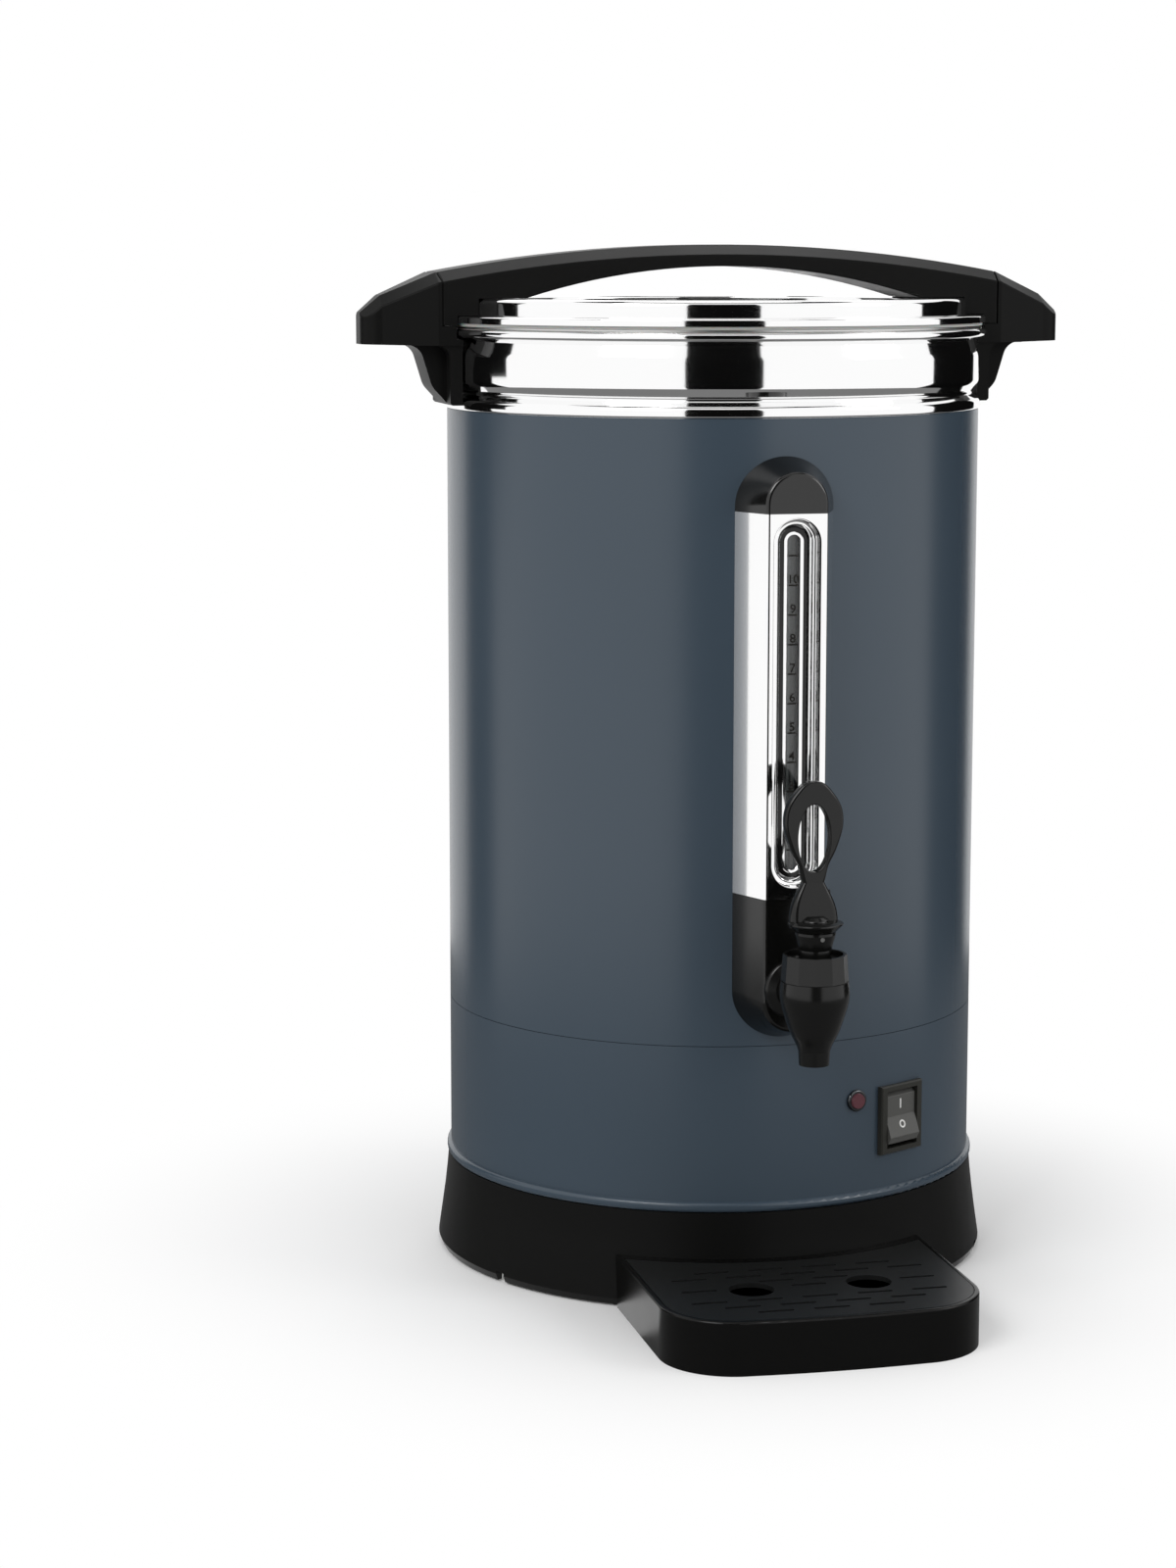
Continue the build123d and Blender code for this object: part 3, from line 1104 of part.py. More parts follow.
def lid_handle():
    """Long arched handle: bevelled along the top, ends cut on a circle, feet stepped over drum and brim."""
    crown = LID_TOP + ARCH_RISE
    reach = JOINT_R + 5
    end = arch_top(reach)
    foot = LID_TOP + SEAT
    under = crown - ARCH_THICK
    toe = SEAL_Z + SLIP
    step = LID_R - ARCH_FOOT
    side = (
        ThreePointArc((-reach, end), (0, crown), (reach, end))
        + Polyline((reach, end), (reach, toe), (LID_R - 4, toe), (LID_R - 4, foot), (step, foot))
        + ThreePointArc((step, foot), (0, under), (-step, foot))
        + Polyline((-step, foot), (-LID_R + 4, foot), (-LID_R + 4, toe), (-reach, toe), (-reach, end))
    )
    arch = upright(make_face(side), ARCH_W / 2, -ARCH_W / 2)
    arch &= disc(JOINT_R, toe - 1, crown + 1)
    for way in (-1, 1):
        low = (way * ARCH_W, -BEVEL_H * (2 * ARCH_W - ARCH_TOP_W) / (ARCH_W - ARCH_TOP_W))
        wedge = outline([low, (way * ARCH_TOP_W / 2, 0), (way * ARCH_TOP_W / 2, 9), (way * ARCH_W, 9)])
        cutter = revolve(Plane.YZ * Pos(0, ARCH_TOP_R) * wedge, Axis.Y)
        arch -= Pos(0, 0, crown - ARCH_TOP_R) * cutter
    arch = fillet([edge for edge in arch.edges() if rounded_on_arch(edge)], HANDLE_ROUND)
    arch -= disc(LID_R + SEAT, toe - 1, foot)
    arch -= disc(BRIM_R + SEAT, toe - 1, BRIM_Z + LID_SHEET + SEAT)
    for x in lid_screw_places():
        arch -= Pos(x, 0, LID_TOP) * disc(SCREW_R + RUN, 0, SHORT_SCREW_L)
    return arch


def rounded_on_arch(edge):
    """Whether an edge of the arch is a long one along its sides, or one round its two ends."""
    box = edge.bounding_box()
    at_end = min(abs(box.min.X), abs(box.max.X)) > BRIM_R + 2
    along = box.size.X > ARCH_W * 2
    return along or (at_end and box.max.Z > LID_TOP and edge.length > BEVEL_H)


def lid_screws():
    """Two screws up through the lid into the handle's feet."""
    screw = Pos(0, 0, LID_TOP - LID_SHEET - SEAT) * pan_screw(SHORT_SCREW_L)
    return [Pos(x, 0, 0) * screw for x in lid_screw_places()]


# ---------------------------------------------------------------- carrying handles
def arch_top(x):
    """Height of the arch's top surface at a distance from its middle; the carrying handles continue it."""
    return LID_TOP + ARCH_RISE - ARCH_TOP_R + sqrt(ARCH_TOP_R ** 2 - x ** 2)


def grip_section(x, top, half, flat):
    """Cross-section of a carrying handle: upright sides, bevels and a flat top."""
    low = SHELL_TOP
    return Plane.YZ.offset(x) * outline(
        [(-half, low), (half, low), (half, top - BEVEL_H), (flat, top), (-flat, top), (-half, top - BEVEL_H)])


def handle_right():
    """Carrying handle: sloped grip that carries the arch's line outward, web, and mounting flange."""
    seam_top = arch_top(JOINT_R)
    wide, flat = ARCH_W / 2, ARCH_TOP_W / 2
    inner = DRUM_R - 8
    end_half = HANDLE_END_W / 2
    grip = loft(Sketch() + [
        grip_section(inner, arch_top(inner), wide, flat),
        grip_section(JOINT_R, seam_top, wide, flat),
        grip_section(HANDLE_REACH - 9.5, seam_top - GRIP_DROP + 8.2, end_half + 2.0, flat * 0.45),
        grip_section(HANDLE_REACH, seam_top - GRIP_DROP, end_half, flat * 0.3),
    ], ruled=True)
    corners = grip.edges().filter_by(Axis.Z).group_by(Axis.X)[-1]
    grip = fillet(corners, HANDLE_END_ROUND)
    high_edges = [edge for edge in grip.edges() if edge.center().Z > SHELL_TOP]
    ridges = [edge for edge in high_edges if edge.bounding_box().max.X > inner]
    grip = fillet(ridges, HANDLE_ROUND)
    under = NECK_Z + 5.0
    tip = SHELL_TOP + 2.4
    top = seam_top + 9
    points = [(inner - 1, top), (HANDLE_REACH + 5, top), (HANDLE_REACH + 5, under),
              (HANDLE_REACH - 27.5, under - 0.6), (DRUM_R + 12.0, tip + 8.7), (DRUM_R + 4.0, tip),
              (inner - 1, tip)]
    grip &= upright(outline(points, [0, 0, 0, 8, 10, 1, 0]), ARCH_W, -ARCH_W)
    flange_x = DRUM_R + FLANGE_OUT
    for way in (-1, 1):
        recess = outline([(flange_x, tip - 9), (HANDLE_REACH + 9, tip - 9), (HANDLE_REACH + 9, under - 0.6),
                          (flange_x, under - 0.6)], [0, 0, 0, 6])
        near, far = way * WEB_W / 2, way * ARCH_W
        grip -= upright(recess, max(near, far), min(near, far))
        grip -= block((DRUM_R - 9, HANDLE_REACH), sorted((way * (wide - 1), far)), (tip - 9, under - 0.6))
    grip -= disc(DRUM_R + BAND_OUT + SEAT + 0.5, tip - 9, RIM_Z - 1)
    shelf = SEAL_Z
    grip -= disc(RIM_R + SLIP, RIM_Z - 1, shelf + 1)
    grip -= disc(JOINT_R + SLIP, shelf, top)
    for offset in (-HANDLE_SCREW_X, HANDLE_SCREW_X):
        hole = disc(HANDLE_SCREW_R + RUN, DRUM_R - 10, DRUM_R + HANDLE_SCREW_L)
        grip -= Pos(0, offset, HANDLE_SCREW_Z) * Rot(0, 90, 0) * hole
    return grip


def handle_left():
    """The right handle's mirror image."""
    return mirror(handle_right(), about=Plane.YZ)


def handle_screws():
    """Two screws from inside the collar into each carrying handle."""
    screws = []
    start = DRUM_R + BAND_OUT - SHEET - 2 * SEAT - 0.5
    for side in (-1, 1):
        for offset in (-HANDLE_SCREW_X, HANDLE_SCREW_X):
            screw = pan_screw(HANDLE_SCREW_L, HANDLE_HEAD_R, HANDLE_HEAD_H, HANDLE_SCREW_R)
            screw = Rot(0, 90 * side, 0) * Pos(0, 0, start) * screw
            screws.append(Pos(0, offset, HANDLE_SCREW_Z) * screw)
    return screws


# ---------------------------------------------------------------- percolator
def pump_tube():
    """Riser tube with the collar that carries the basket."""
    tube = ring(PUMP_R, PUMP_R - PUMP_WALL, WELL_Z + SHEET + 8, PUMP_TOP)
    rest = BASKET_Z - SLIP
    return tube + ring(COLLAR_DISC_R, PUMP_R - PUMP_WALL, rest - COLLAR_DISC_H, rest)


def pump_foot():
    """Bell at the riser's foot that stands in the heating well."""
    low = WELL_Z + SHEET + SLIP
    wall = 1.2
    inner = PUMP_R + RUN
    bell = turned(
        [(PUMP_FOOT_R, low), (PUMP_FOOT_R, low + 5), (inner + 2.5, low + PUMP_FOOT_H - 5),
         (inner + 2.5, low + PUMP_FOOT_H), (inner, low + PUMP_FOOT_H), (inner, low + PUMP_FOOT_H - 6.2),
         (PUMP_FOOT_R - wall, low + 4), (PUMP_FOOT_R - wall, low)],
        [0, 3, 3, 0, 0, 2, 2, 0])
    for step in range(4):
        inflow = block((-3, 3), (-PUMP_FOOT_R - 1, -PUMP_FOOT_R + 5), (low - 1, low + 2.5))
        bell -= turn(inflow, 45 + 90 * step)
    return bell


def drill_rings(radii_counts, z_low, z_high):
    """Cutters for rings of drain holes, given as (ring radius, count)."""
    holes = []
    for ring_r, count in radii_counts:
        for step in range(count):
            holes.append(turn(Pos(0, -ring_r, 0) * disc(HOLE_R, z_low, z_high), 360 / count * step))
    return holes


def filter_basket():
    """Basket for the grounds: perforated floor, central sleeve and rolled rim."""
    t = SHEET
    sleeve_in = PUMP_R + SLIP
    top = BASKET_TOP
    basket = turned(
        [(sleeve_in, BASKET_Z), (BASKET_R, BASKET_Z), (BASKET_R, top - 2), (BASKET_R + BASKET_RIM, top - 2),
         (BASKET_R + BASKET_RIM, top), (BASKET_R - t, top), (BASKET_R - t, BASKET_Z + t),
         (sleeve_in + t, BASKET_Z + t), (sleeve_in + t, BASKET_Z + SLEEVE_H),
         (sleeve_in, BASKET_Z + SLEEVE_H)],
        [0, 6, 0.6, 0.9, 0.9, 0, 5.2, 1, 0, 0])
    for hole in drill_rings([(30, 10), (50, 16), (70, 22)], BASKET_Z - 1, BASKET_Z + t + 1):
        basket -= hole
    return basket


def basket_cover():
    """Domed spreader plate that lies on the basket's rim."""
    t = SHEET
    low = BASKET_TOP + SLIP
    bore = PUMP_R + 2 * SLIP
    cover = turned(
        [(BASKET_R + 2, low), (BASKET_R + 2, low + t), (BASKET_R - 5, low + t), (bore + 14, low + 5),
         (bore, low + 5), (bore, low + 5 - t), (bore + 14, low + 5 - t), (BASKET_R - 5, low)],
        [0, 0, 3, 3, 0, 0, 3, 3])
    for hole in drill_rings([(40, 12), (65, 18)], low - 1, low + 9):
        cover -= hole
    return cover


# ---------------------------------------------------------------- drip tray
def tray_plan(inset):
    """Tray outline in plan, drawn in by an inset: straight sides, round front corners, bowed front."""
    half = TRAY_W / 2 - inset
    front = -(TRAY_REACH - inset)
    corner = TRAY_CORNER - inset
    shoulder = front + TRAY_BOW
    back = -60.0
    frame = outline(
        [(-half, back), (-half, shoulder), (half, shoulder), (half, back)], [0, corner, corner, 0])
    span = half - corner
    arc = ThreePointArc((-span, shoulder), (0, front), (span, shoulder))
    return frame + make_face(arc + Line((span, shoulder), (-span, shoulder)))


def skirt_envelope(gap):
    """The skirt's outside, grown by a gap, as a cutter for the tray."""
    heights = [SKIRT_TOP * share for share in (0, 0.25, 0.5, 0.75, 1)]
    points = [(0, 0)] + [(skirt_radius(z) + gap, z) for z in heights] + [(0, SKIRT_TOP)]
    return turned(points)


def drip_tray():
    """Open basin that hugs the skirt, with a ledge for the grille."""
    tray = extrude(tray_plan(0), TRAY_H)
    tray = fillet(tray.faces().sort_by(Axis.Z)[-1].edges().sort_by(Axis.Y)[:-1], TRAY_ROUND)
    tray -= skirt_envelope(SLIP)
    back_r = DRUM_R + SKIRT_FLARE + SLIP + TRAY_WALL
    ledge_z = TRAY_H - GRILLE_T - SLIP
    basin = Pos(0, 0, TRAY_FLOOR) * extrude(tray_plan(TRAY_WALL + GRILLE_LEDGE), TRAY_H)
    basin -= disc(back_r + GRILLE_LEDGE, -1, TRAY_H + 9)
    top = Pos(0, 0, ledge_z) * extrude(tray_plan(TRAY_WALL), TRAY_H)
    top -= disc(back_r, -1, TRAY_H + 9)
    return tray - basin - top


def drip_grille():
    """Slotted grille with staggered rows of slots and two finger holes."""
    low = TRAY_H - GRILLE_T
    plate = Pos(0, 0, low) * extrude(tray_plan(TRAY_WALL + SLIP), GRILLE_T)
    back_r = DRUM_R + SKIRT_FLARE + SLIP + TRAY_WALL + SLIP
    plate -= disc(back_r, 0, TRAY_H + 9)
    rows = int((FIRST_SLOT_Y - back_r) / SLOT_PITCH_Y)
    for row in range(rows):
        y = -(FIRST_SLOT_Y - row * SLOT_PITCH_Y)
        columns = 5 if row % 2 == 0 else 6
        for column in range(columns):
            x = (column - (columns - 1) / 2) * SLOT_PITCH_X
            if slot_fits(x, y, back_r):
                slot = Pos(x, y, low - 1) * extrude(SlotOverall(SLOT_LEN, SLOT_GAP_W), GRILLE_T + 2)
                plate -= slot
    for side in (-1, 1):
        plate -= Pos(side * FINGER_X, -FINGER_Y, low - 1) * disc(FINGER_R, 0, GRILLE_T + 2)
    return plate


def slot_fits(x, y, back_r):
    """Whether a slot lies on solid plate, clear of the edge and the finger holes."""
    margin = 5.0
    reach_x = abs(x) + SLOT_LEN / 2 + margin
    if reach_x > TRAY_W / 2 - TRAY_WALL:
        return False
    if sqrt(max(0.0, abs(x) - SLOT_LEN / 2) ** 2 + y ** 2) < back_r + margin - 2:
        return False
    corner_x, corner_y = TRAY_W / 2 - TRAY_CORNER, TRAY_REACH - TRAY_BOW - TRAY_CORNER
    over = (reach_x - margin - corner_x, -y - corner_y)
    if min(over) > 0 and sqrt(over[0] ** 2 + over[1] ** 2) > TRAY_CORNER - TRAY_WALL - margin:
        return False
    near = max(0.0, abs(abs(x) - FINGER_X) - SLOT_LEN / 2)
    return sqrt(near ** 2 + (-y - FINGER_Y) ** 2) > FINGER_R + SLOT_GAP_W / 2 + 1.5


# ---------------------------------------------------------------- all pieces
PIECES = {
    "base_skirt": base_skirt,
    "bottom_cover": bottom_cover,
    "base_feet": base_feet,
    "base_screws": base_screws,
    "shell_lower": shell_lower,
    "shell_upper": shell_upper,
    "rim_collar": rim_collar,
    "tank": tank,
    "tank_support": tank_support,
    "heater_plate": heater_plate,
    "heating_element": heating_element,
    "thermostat": thermostat,
    "thermal_cutout": thermal_cutout,
    "switch_housing": switch_housing,
    "switch_rocker": switch_rocker,
    "lamp_bezel": lamp_bezel,
    "lamp_lens": lamp_lens,
    "power_inlet": power_inlet,
    "inlet_pins": inlet_pins,
    "inlet_screws": inlet_screws,
    "gauge_top_cap": gauge_top_cap,
    "gauge_cover": gauge_cover,
    "gauge_lower_housing": gauge_lower_housing,
    "gauge_window_frame": gauge_window_frame,
    "gauge_lens": gauge_lens,
    "sight_tube": sight_tube,
    "tube_seal_lower": lambda: tube_seal(tube_limits()[0] + 1, TAP_Z + SOCKET_TOP_UP - SEAT),
    "tube_seal_upper": lambda: tube_seal(COVER_TOP + 2 * SEAT, COVER_TOP + 6 - SEAT),
    "level_scale": level_scale,
    "gauge_fitting": gauge_fitting,
    "gauge_screws": gauge_screws,
    "tap_shank": tap_shank,
    "shank_nut": shank_nut,
    "shank_washers": shank_washers,
    "tap_flange": tap_flange,
    "tap_body": tap_body,
    "tap_ring_nut": tap_ring_nut,
    "tap_neck": tap_neck,
    "tap_stem": tap_stem,
    "tap_pin": tap_pin,
    "seat_cup": seat_cup,
    "tap_spring": tap_spring,
    "tap_lever": tap_lever,
    "lid": lid,
    "lid_seal": lid_seal,
    "lid_handle": lid_handle,
    "lid_screws": lid_screws,
    "handle_right": handle_right,
    "handle_left": handle_left,
    "handle_screws": handle_screws,
    "pump_tube": pump_tube,
    "pump_foot": pump_foot,
    "filter_basket": filter_basket,
    "basket_cover": basket_cover,
    "drip_tray": drip_tray,
    "drip_grille": drip_grille,
}

os.makedirs("parts", exist_ok=True)
for node, make in PIECES.items():
    shape = make()
    if isinstance(shape, list):
        shape = Compound(children=shape)
    shape.label = node
    export_step(shape, f"parts/{node}.step")
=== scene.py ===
from math import cos, pi, radians, sin

import bmesh
import bpy
from mathutils import Matrix, Vector


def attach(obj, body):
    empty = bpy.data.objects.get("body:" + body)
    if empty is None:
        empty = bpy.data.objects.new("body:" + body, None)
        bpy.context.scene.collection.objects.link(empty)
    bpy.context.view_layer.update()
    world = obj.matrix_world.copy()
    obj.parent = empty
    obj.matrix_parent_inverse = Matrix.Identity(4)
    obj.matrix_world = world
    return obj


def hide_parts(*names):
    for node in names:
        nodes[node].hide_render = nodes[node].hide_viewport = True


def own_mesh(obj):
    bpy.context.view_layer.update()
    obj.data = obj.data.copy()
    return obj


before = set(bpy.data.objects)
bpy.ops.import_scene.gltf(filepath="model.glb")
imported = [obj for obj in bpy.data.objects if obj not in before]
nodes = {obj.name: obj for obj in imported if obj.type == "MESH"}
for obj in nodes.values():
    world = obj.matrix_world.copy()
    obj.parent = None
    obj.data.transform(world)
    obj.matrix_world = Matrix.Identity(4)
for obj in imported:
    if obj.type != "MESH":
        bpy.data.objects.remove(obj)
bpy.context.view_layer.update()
scene = bpy.context.scene


# ---------------------------------------------------------------- camera
# A long lens 1.7 m in front of the urn, at the height of its lid and a little left of the tap.
# It looks down by 8.6 degrees, and its distance keeps the drum's two sides nearly parallel.
camera_data = bpy.data.cameras.new("camera")
camera_data.lens = 80.81
camera_data.sensor_width = 36.0
camera = bpy.data.objects.new("camera", camera_data)
camera.location = (-0.4529, -1.6777, 0.4943)
camera.rotation_euler = (radians(81.371), 0.0, radians(-13.1))
scene.collection.objects.link(camera)
scene.camera = camera


# ---------------------------------------------------------------- room
# A plain white room. Seen directly, as a reflection or through glass it is paper white;
# the light that it sheds on matt surfaces is a weaker fill.
scene.view_settings.view_transform = "Standard"
full_white = (1.0, 1.0, 1.0, 1.0)
room_seen, room_fill = 1.0, 0.62
room = bpy.data.worlds.new("room")
room.use_nodes = True
scene.world = room
tree = room.node_tree
tree.nodes.clear()
ray = tree.nodes.new("ShaderNodeLightPath")
seen_or_mirrored = tree.nodes.new("ShaderNodeMath")
seen_or_mirrored.operation = "MAXIMUM"
tree.links.new(ray.outputs["Is Camera Ray"], seen_or_mirrored.inputs[0])
tree.links.new(ray.outputs["Is Glossy Ray"], seen_or_mirrored.inputs[1])
seen = tree.nodes.new("ShaderNodeMath")
seen.operation = "MAXIMUM"
tree.links.new(seen_or_mirrored.outputs[0], seen.inputs[0])
tree.links.new(ray.outputs["Is Transmission Ray"], seen.inputs[1])
fill = tree.nodes.new("ShaderNodeBackground")
fill.inputs["Color"].default_value = full_white
fill.inputs["Strength"].default_value = room_fill
white = tree.nodes.new("ShaderNodeBackground")
white.inputs["Color"].default_value = full_white
white.inputs["Strength"].default_value = room_seen
choose = tree.nodes.new("ShaderNodeMixShader")
tree.links.new(seen.outputs[0], choose.inputs["Fac"])
tree.links.new(fill.outputs[0], choose.inputs[1])
tree.links.new(white.outputs[0], choose.inputs[2])
world_out = tree.nodes.new("ShaderNodeOutputWorld")
tree.links.new(choose.outputs[0], world_out.inputs["Surface"])


# ---------------------------------------------------------------- lamps
# Three square soft boxes, each turned to the middle of the drum: the key from the front left,
# a weaker one from the right, and one behind that lights the handles' edges.
drum_middle = Vector((0.0, 0.0, 0.22))
for name, place, side, power in (
    ("key", (-1.7, -1.5, 2.0), 1.3, 30.0),
    ("right", (1.9, -1.2, 1.3), 1.0, 10.0),
    ("back", (0.3, 1.9, 2.2), 1.6, 16.0),
):
    lamp_data = bpy.data.lights.new(name, "AREA")
    lamp_data.shape = "SQUARE"
    lamp_data.size = side
    lamp_data.energy = power
    lamp = bpy.data.objects.new(name, lamp_data)
    lamp.location = place
    lamp.rotation_euler = (drum_middle - Vector(place)).to_track_quat("-Z", "Y").to_euler()
    scene.collection.objects.link(lamp)


# ---------------------------------------------------------------- floor
# Pale paper under the urn. Close to the urn it is matt and takes the shadow, and further out
# it glows as white as the room, so that no horizon shows.
def placed(name, mesh, material=None):
    """Turn a finished bmesh into an object of the scene, at the origin."""
    data = bpy.data.meshes.new(name)
    mesh.to_mesh(data)
    mesh.free()
    if material:
        data.materials.append(material)
    piece = bpy.data.objects.new(name, data)
    scene.collection.objects.link(piece)
    return piece


matt_until, glow_from = 0.14, 0.37
paper = bpy.data.materials.new("floor_paper")
paper.use_nodes = True
tree = paper.node_tree
tree.nodes.clear()
place = tree.nodes.new("ShaderNodeTexCoord")
reach = tree.nodes.new("ShaderNodeVectorMath")
reach.operation = "LENGTH"
tree.links.new(place.outputs["Object"], reach.inputs[0])
fade = tree.nodes.new("ShaderNodeMapRange")
fade.interpolation_type = "SMOOTHSTEP"
fade.inputs["From Min"].default_value = matt_until
fade.inputs["From Max"].default_value = glow_from
tree.links.new(reach.outputs["Value"], fade.inputs["Value"])
matt = tree.nodes.new("ShaderNodeBsdfDiffuse")
matt.inputs["Color"].default_value = (0.97, 0.97, 0.97, 1.0)
glow = tree.nodes.new("ShaderNodeEmission")
glow.inputs["Color"].default_value = full_white
floor_ray = tree.nodes.new("ShaderNodeLightPath")
glow_level = tree.nodes.new("ShaderNodeMapRange")
glow_level.inputs["To Min"].default_value = room_fill
glow_level.inputs["To Max"].default_value = room_seen
tree.links.new(floor_ray.outputs["Is Camera Ray"], glow_level.inputs["Value"])
tree.links.new(glow_level.outputs["Result"], glow.inputs["Strength"])
blend = tree.nodes.new("ShaderNodeMixShader")
tree.links.new(fade.outputs["Result"], blend.inputs["Fac"])
tree.links.new(matt.outputs[0], blend.inputs[1])
tree.links.new(glow.outputs[0], blend.inputs[2])
paper_out = tree.nodes.new("ShaderNodeOutputMaterial")
tree.links.new(blend.outputs[0], paper_out.inputs["Surface"])
floor_mesh = bmesh.new()
bmesh.ops.create_circle(floor_mesh, cap_ends=True, radius=6.0, segments=96)
floor = placed("floor", floor_mesh, paper)
floor.visible_glossy = False


# ---------------------------------------------------------------- flags
# Upright black cloths round the urn, a black ring overhead and a grey counter ring at its foot.
# They show in reflections only, and give the polished steel its dark bands. Each is a line from
# its foot to its head, turned through an angle that counts from the front towards the right.
flag_black = bpy.data.materials.new("flag_black")
flag_black.use_nodes = True
flag_shader = flag_black.node_tree.nodes["Principled BSDF"]
flag_shader.inputs["Base Color"].default_value = (0.004, 0.004, 0.004, 1.0)
flag_shader.inputs["Roughness"].default_value = 1.0
flag_shader.inputs["Specular IOR Level"].default_value = 0.0
counter_grey = flag_black.copy()
counter_grey.name = "counter_grey"
counter_shader = counter_grey.node_tree.nodes["Principled BSDF"]
counter_shader.inputs["Base Color"].default_value = (0.30, 0.30, 0.30, 1.0)
for number, (start, end, foot_radius, foot_height, head_radius, head_height, cloth) in enumerate((
    (-26.0, 5.8, 2.6, -1.5, 2.6, 2.5, flag_black),
    (-145.0, -121.0, 2.6, -1.5, 2.6, 1.6, flag_black),
    (-121.0, -111.0, 2.6, 0.27, 2.6, 1.6, flag_black),
    (91.0, 133.0, 2.6, -1.5, 2.6, 1.6, flag_black),
    (-180.0, 180.0, 1.5, 2.7, 0.9, 2.8, flag_black),
    (-180.0, 180.0, 0.85, -0.01, 0.15, -0.012, counter_grey),
)):
    across, ahead = sin(radians(start)), -cos(radians(start))
    flag_mesh = bmesh.new()
    foot = flag_mesh.verts.new((foot_radius * across, foot_radius * ahead, foot_height))
    head = flag_mesh.verts.new((head_radius * across, head_radius * ahead, head_height))
    edge = flag_mesh.edges.new((foot, head))
    bmesh.ops.spin(flag_mesh, geom=[foot, head, edge], cent=(0, 0, 0), axis=(0, 0, 1),
                   angle=radians(end - start), steps=24, use_merge=False)
    flag = placed(f"flag_{number}", flag_mesh, cloth)
    flag.visible_camera = False
    flag.visible_diffuse = False
    flag.visible_transmission = False
    flag.visible_shadow = False


# ---------------------------------------------------------------- skirt and feet
# The flared skirt is one moulding of satin black ABS, and the four feet are rubber, plugged into
# the bottom cover. On every moulding of the urn the mould leaves a fine texture, and handling
# makes the gloss a little uneven.
def moulded(name, colour, roughness, specular, grain):
    material = bpy.data.materials.new(name)
    material.use_nodes = True
    tree = material.node_tree
    shader = tree.nodes["Principled BSDF"]
    shader.inputs["Base Color"].default_value = (*colour, 1.0)
    shader.inputs["Specular IOR Level"].default_value = specular
    place = tree.nodes.new("ShaderNodeTexCoord")
    texture = tree.nodes.new("ShaderNodeTexNoise")
    texture.inputs["Scale"].default_value = 2600.0
    texture.inputs["Detail"].default_value = 2.0
    tree.links.new(place.outputs["Object"], texture.inputs["Vector"])
    bump = tree.nodes.new("ShaderNodeBump")
    bump.inputs["Strength"].default_value = grain
    bump.inputs["Distance"].default_value = 0.0002
    tree.links.new(texture.outputs["Fac"], bump.inputs["Height"])
    tree.links.new(bump.outputs["Normal"], shader.inputs["Normal"])
    handled = tree.nodes.new("ShaderNodeTexNoise")
    handled.inputs["Scale"].default_value = 34.0
    handled.inputs["Detail"].default_value = 5.0
    tree.links.new(place.outputs["Object"], handled.inputs["Vector"])
    uneven = 0.05
    gloss = tree.nodes.new("ShaderNodeMapRange")
    gloss.inputs["To Min"].default_value = roughness - uneven
    gloss.inputs["To Max"].default_value = roughness + uneven
    tree.links.new(handled.outputs["Fac"], gloss.inputs["Value"])
    tree.links.new(gloss.outputs["Result"], shader.inputs["Roughness"])
    return material


def dress(material, *names):
    for name in names:
        for slot in nodes[name].material_slots:
            slot.material = material


dress(moulded("black_satin", (0.0052, 0.0052, 0.0050), 0.34, 0.10, 0.05), "base_skirt")
dress(moulded("foot_rubber", (0.018, 0.018, 0.018), 0.75, 0.2, 0.08), "base_feet")


# ---------------------------------------------------------------- drip tray and grille
# A loose tray of glossy black ABS that slides in under the tap, and a slotted grille that lies
# in its rim. The grille's colour is paler than the tray's: painted sheen on the top that faces the
# room.
dress(moulded("tray_black", (0.0032, 0.0032, 0.0030), 0.24, 0.20, 0.02), "drip_tray")
# The paler colour of the grille is painted sheen, lightening the tray's top.
dress(moulded("grille_painted_sheen", (0.0100, 0.0105, 0.0105), 0.34, 0.25, 0.03), "drip_grille")


# ---------------------------------------------------------------- handles
# The lid's long arch and the two carrying handles are the most matt of the black mouldings.
# Screws up through the lid hold the arch, and screws from inside the collar hold the other two.
dress(moulded("handle_black", (0.0058, 0.0058, 0.0056), 0.40, 0.07, 0.04),
      "lid_handle", "handle_right", "handle_left")


# ---------------------------------------------------------------- gauge housings
# The round cap over the top of the sight tube and the housing round its fitting, both moulded in
# high-gloss black. Screws from inside the upper shell hold them, with the cover between them.
dress(moulded("gauge_black", (0.0035, 0.0035, 0.0033), 0.15, 0.62, 0.01),
      "gauge_top_cap", "gauge_lower_housing")


# ---------------------------------------------------------------- tap
# Flange, body, ring nut, neck and lever of a spring tap, moulded in smooth black plastic.
# The ring nut clamps the neck on the body, and a pin joins the lever to the stem's head.
dress(moulded("tap_black", (0.0055, 0.0055, 0.0052), 0.20, 0.36, 0.02),
      "tap_body", "tap_ring_nut", "tap_neck", "tap_lever", "tap_flange")


# ---------------------------------------------------------------- switch, inlet and thermostats
# A rocker switch snapped into the lower shell, with a charcoal frame and a lighter rocker.
# The power inlet is at the back, and the thermostat and the cut-out are under the heater.
dress(moulded("switch_grey", (0.028, 0.028, 0.024), 0.32, 0.30, 0.03), "switch_housing")
dress(moulded("rocker_grey", (0.085, 0.085, 0.080), 0.36, 0.35, 0.03), "switch_rocker")
dress(moulded("inlet_black", (0.014, 0.014, 0.014), 0.40, 0.35, 0.03),
      "power_inlet", "thermostat", "thermal_cutout")


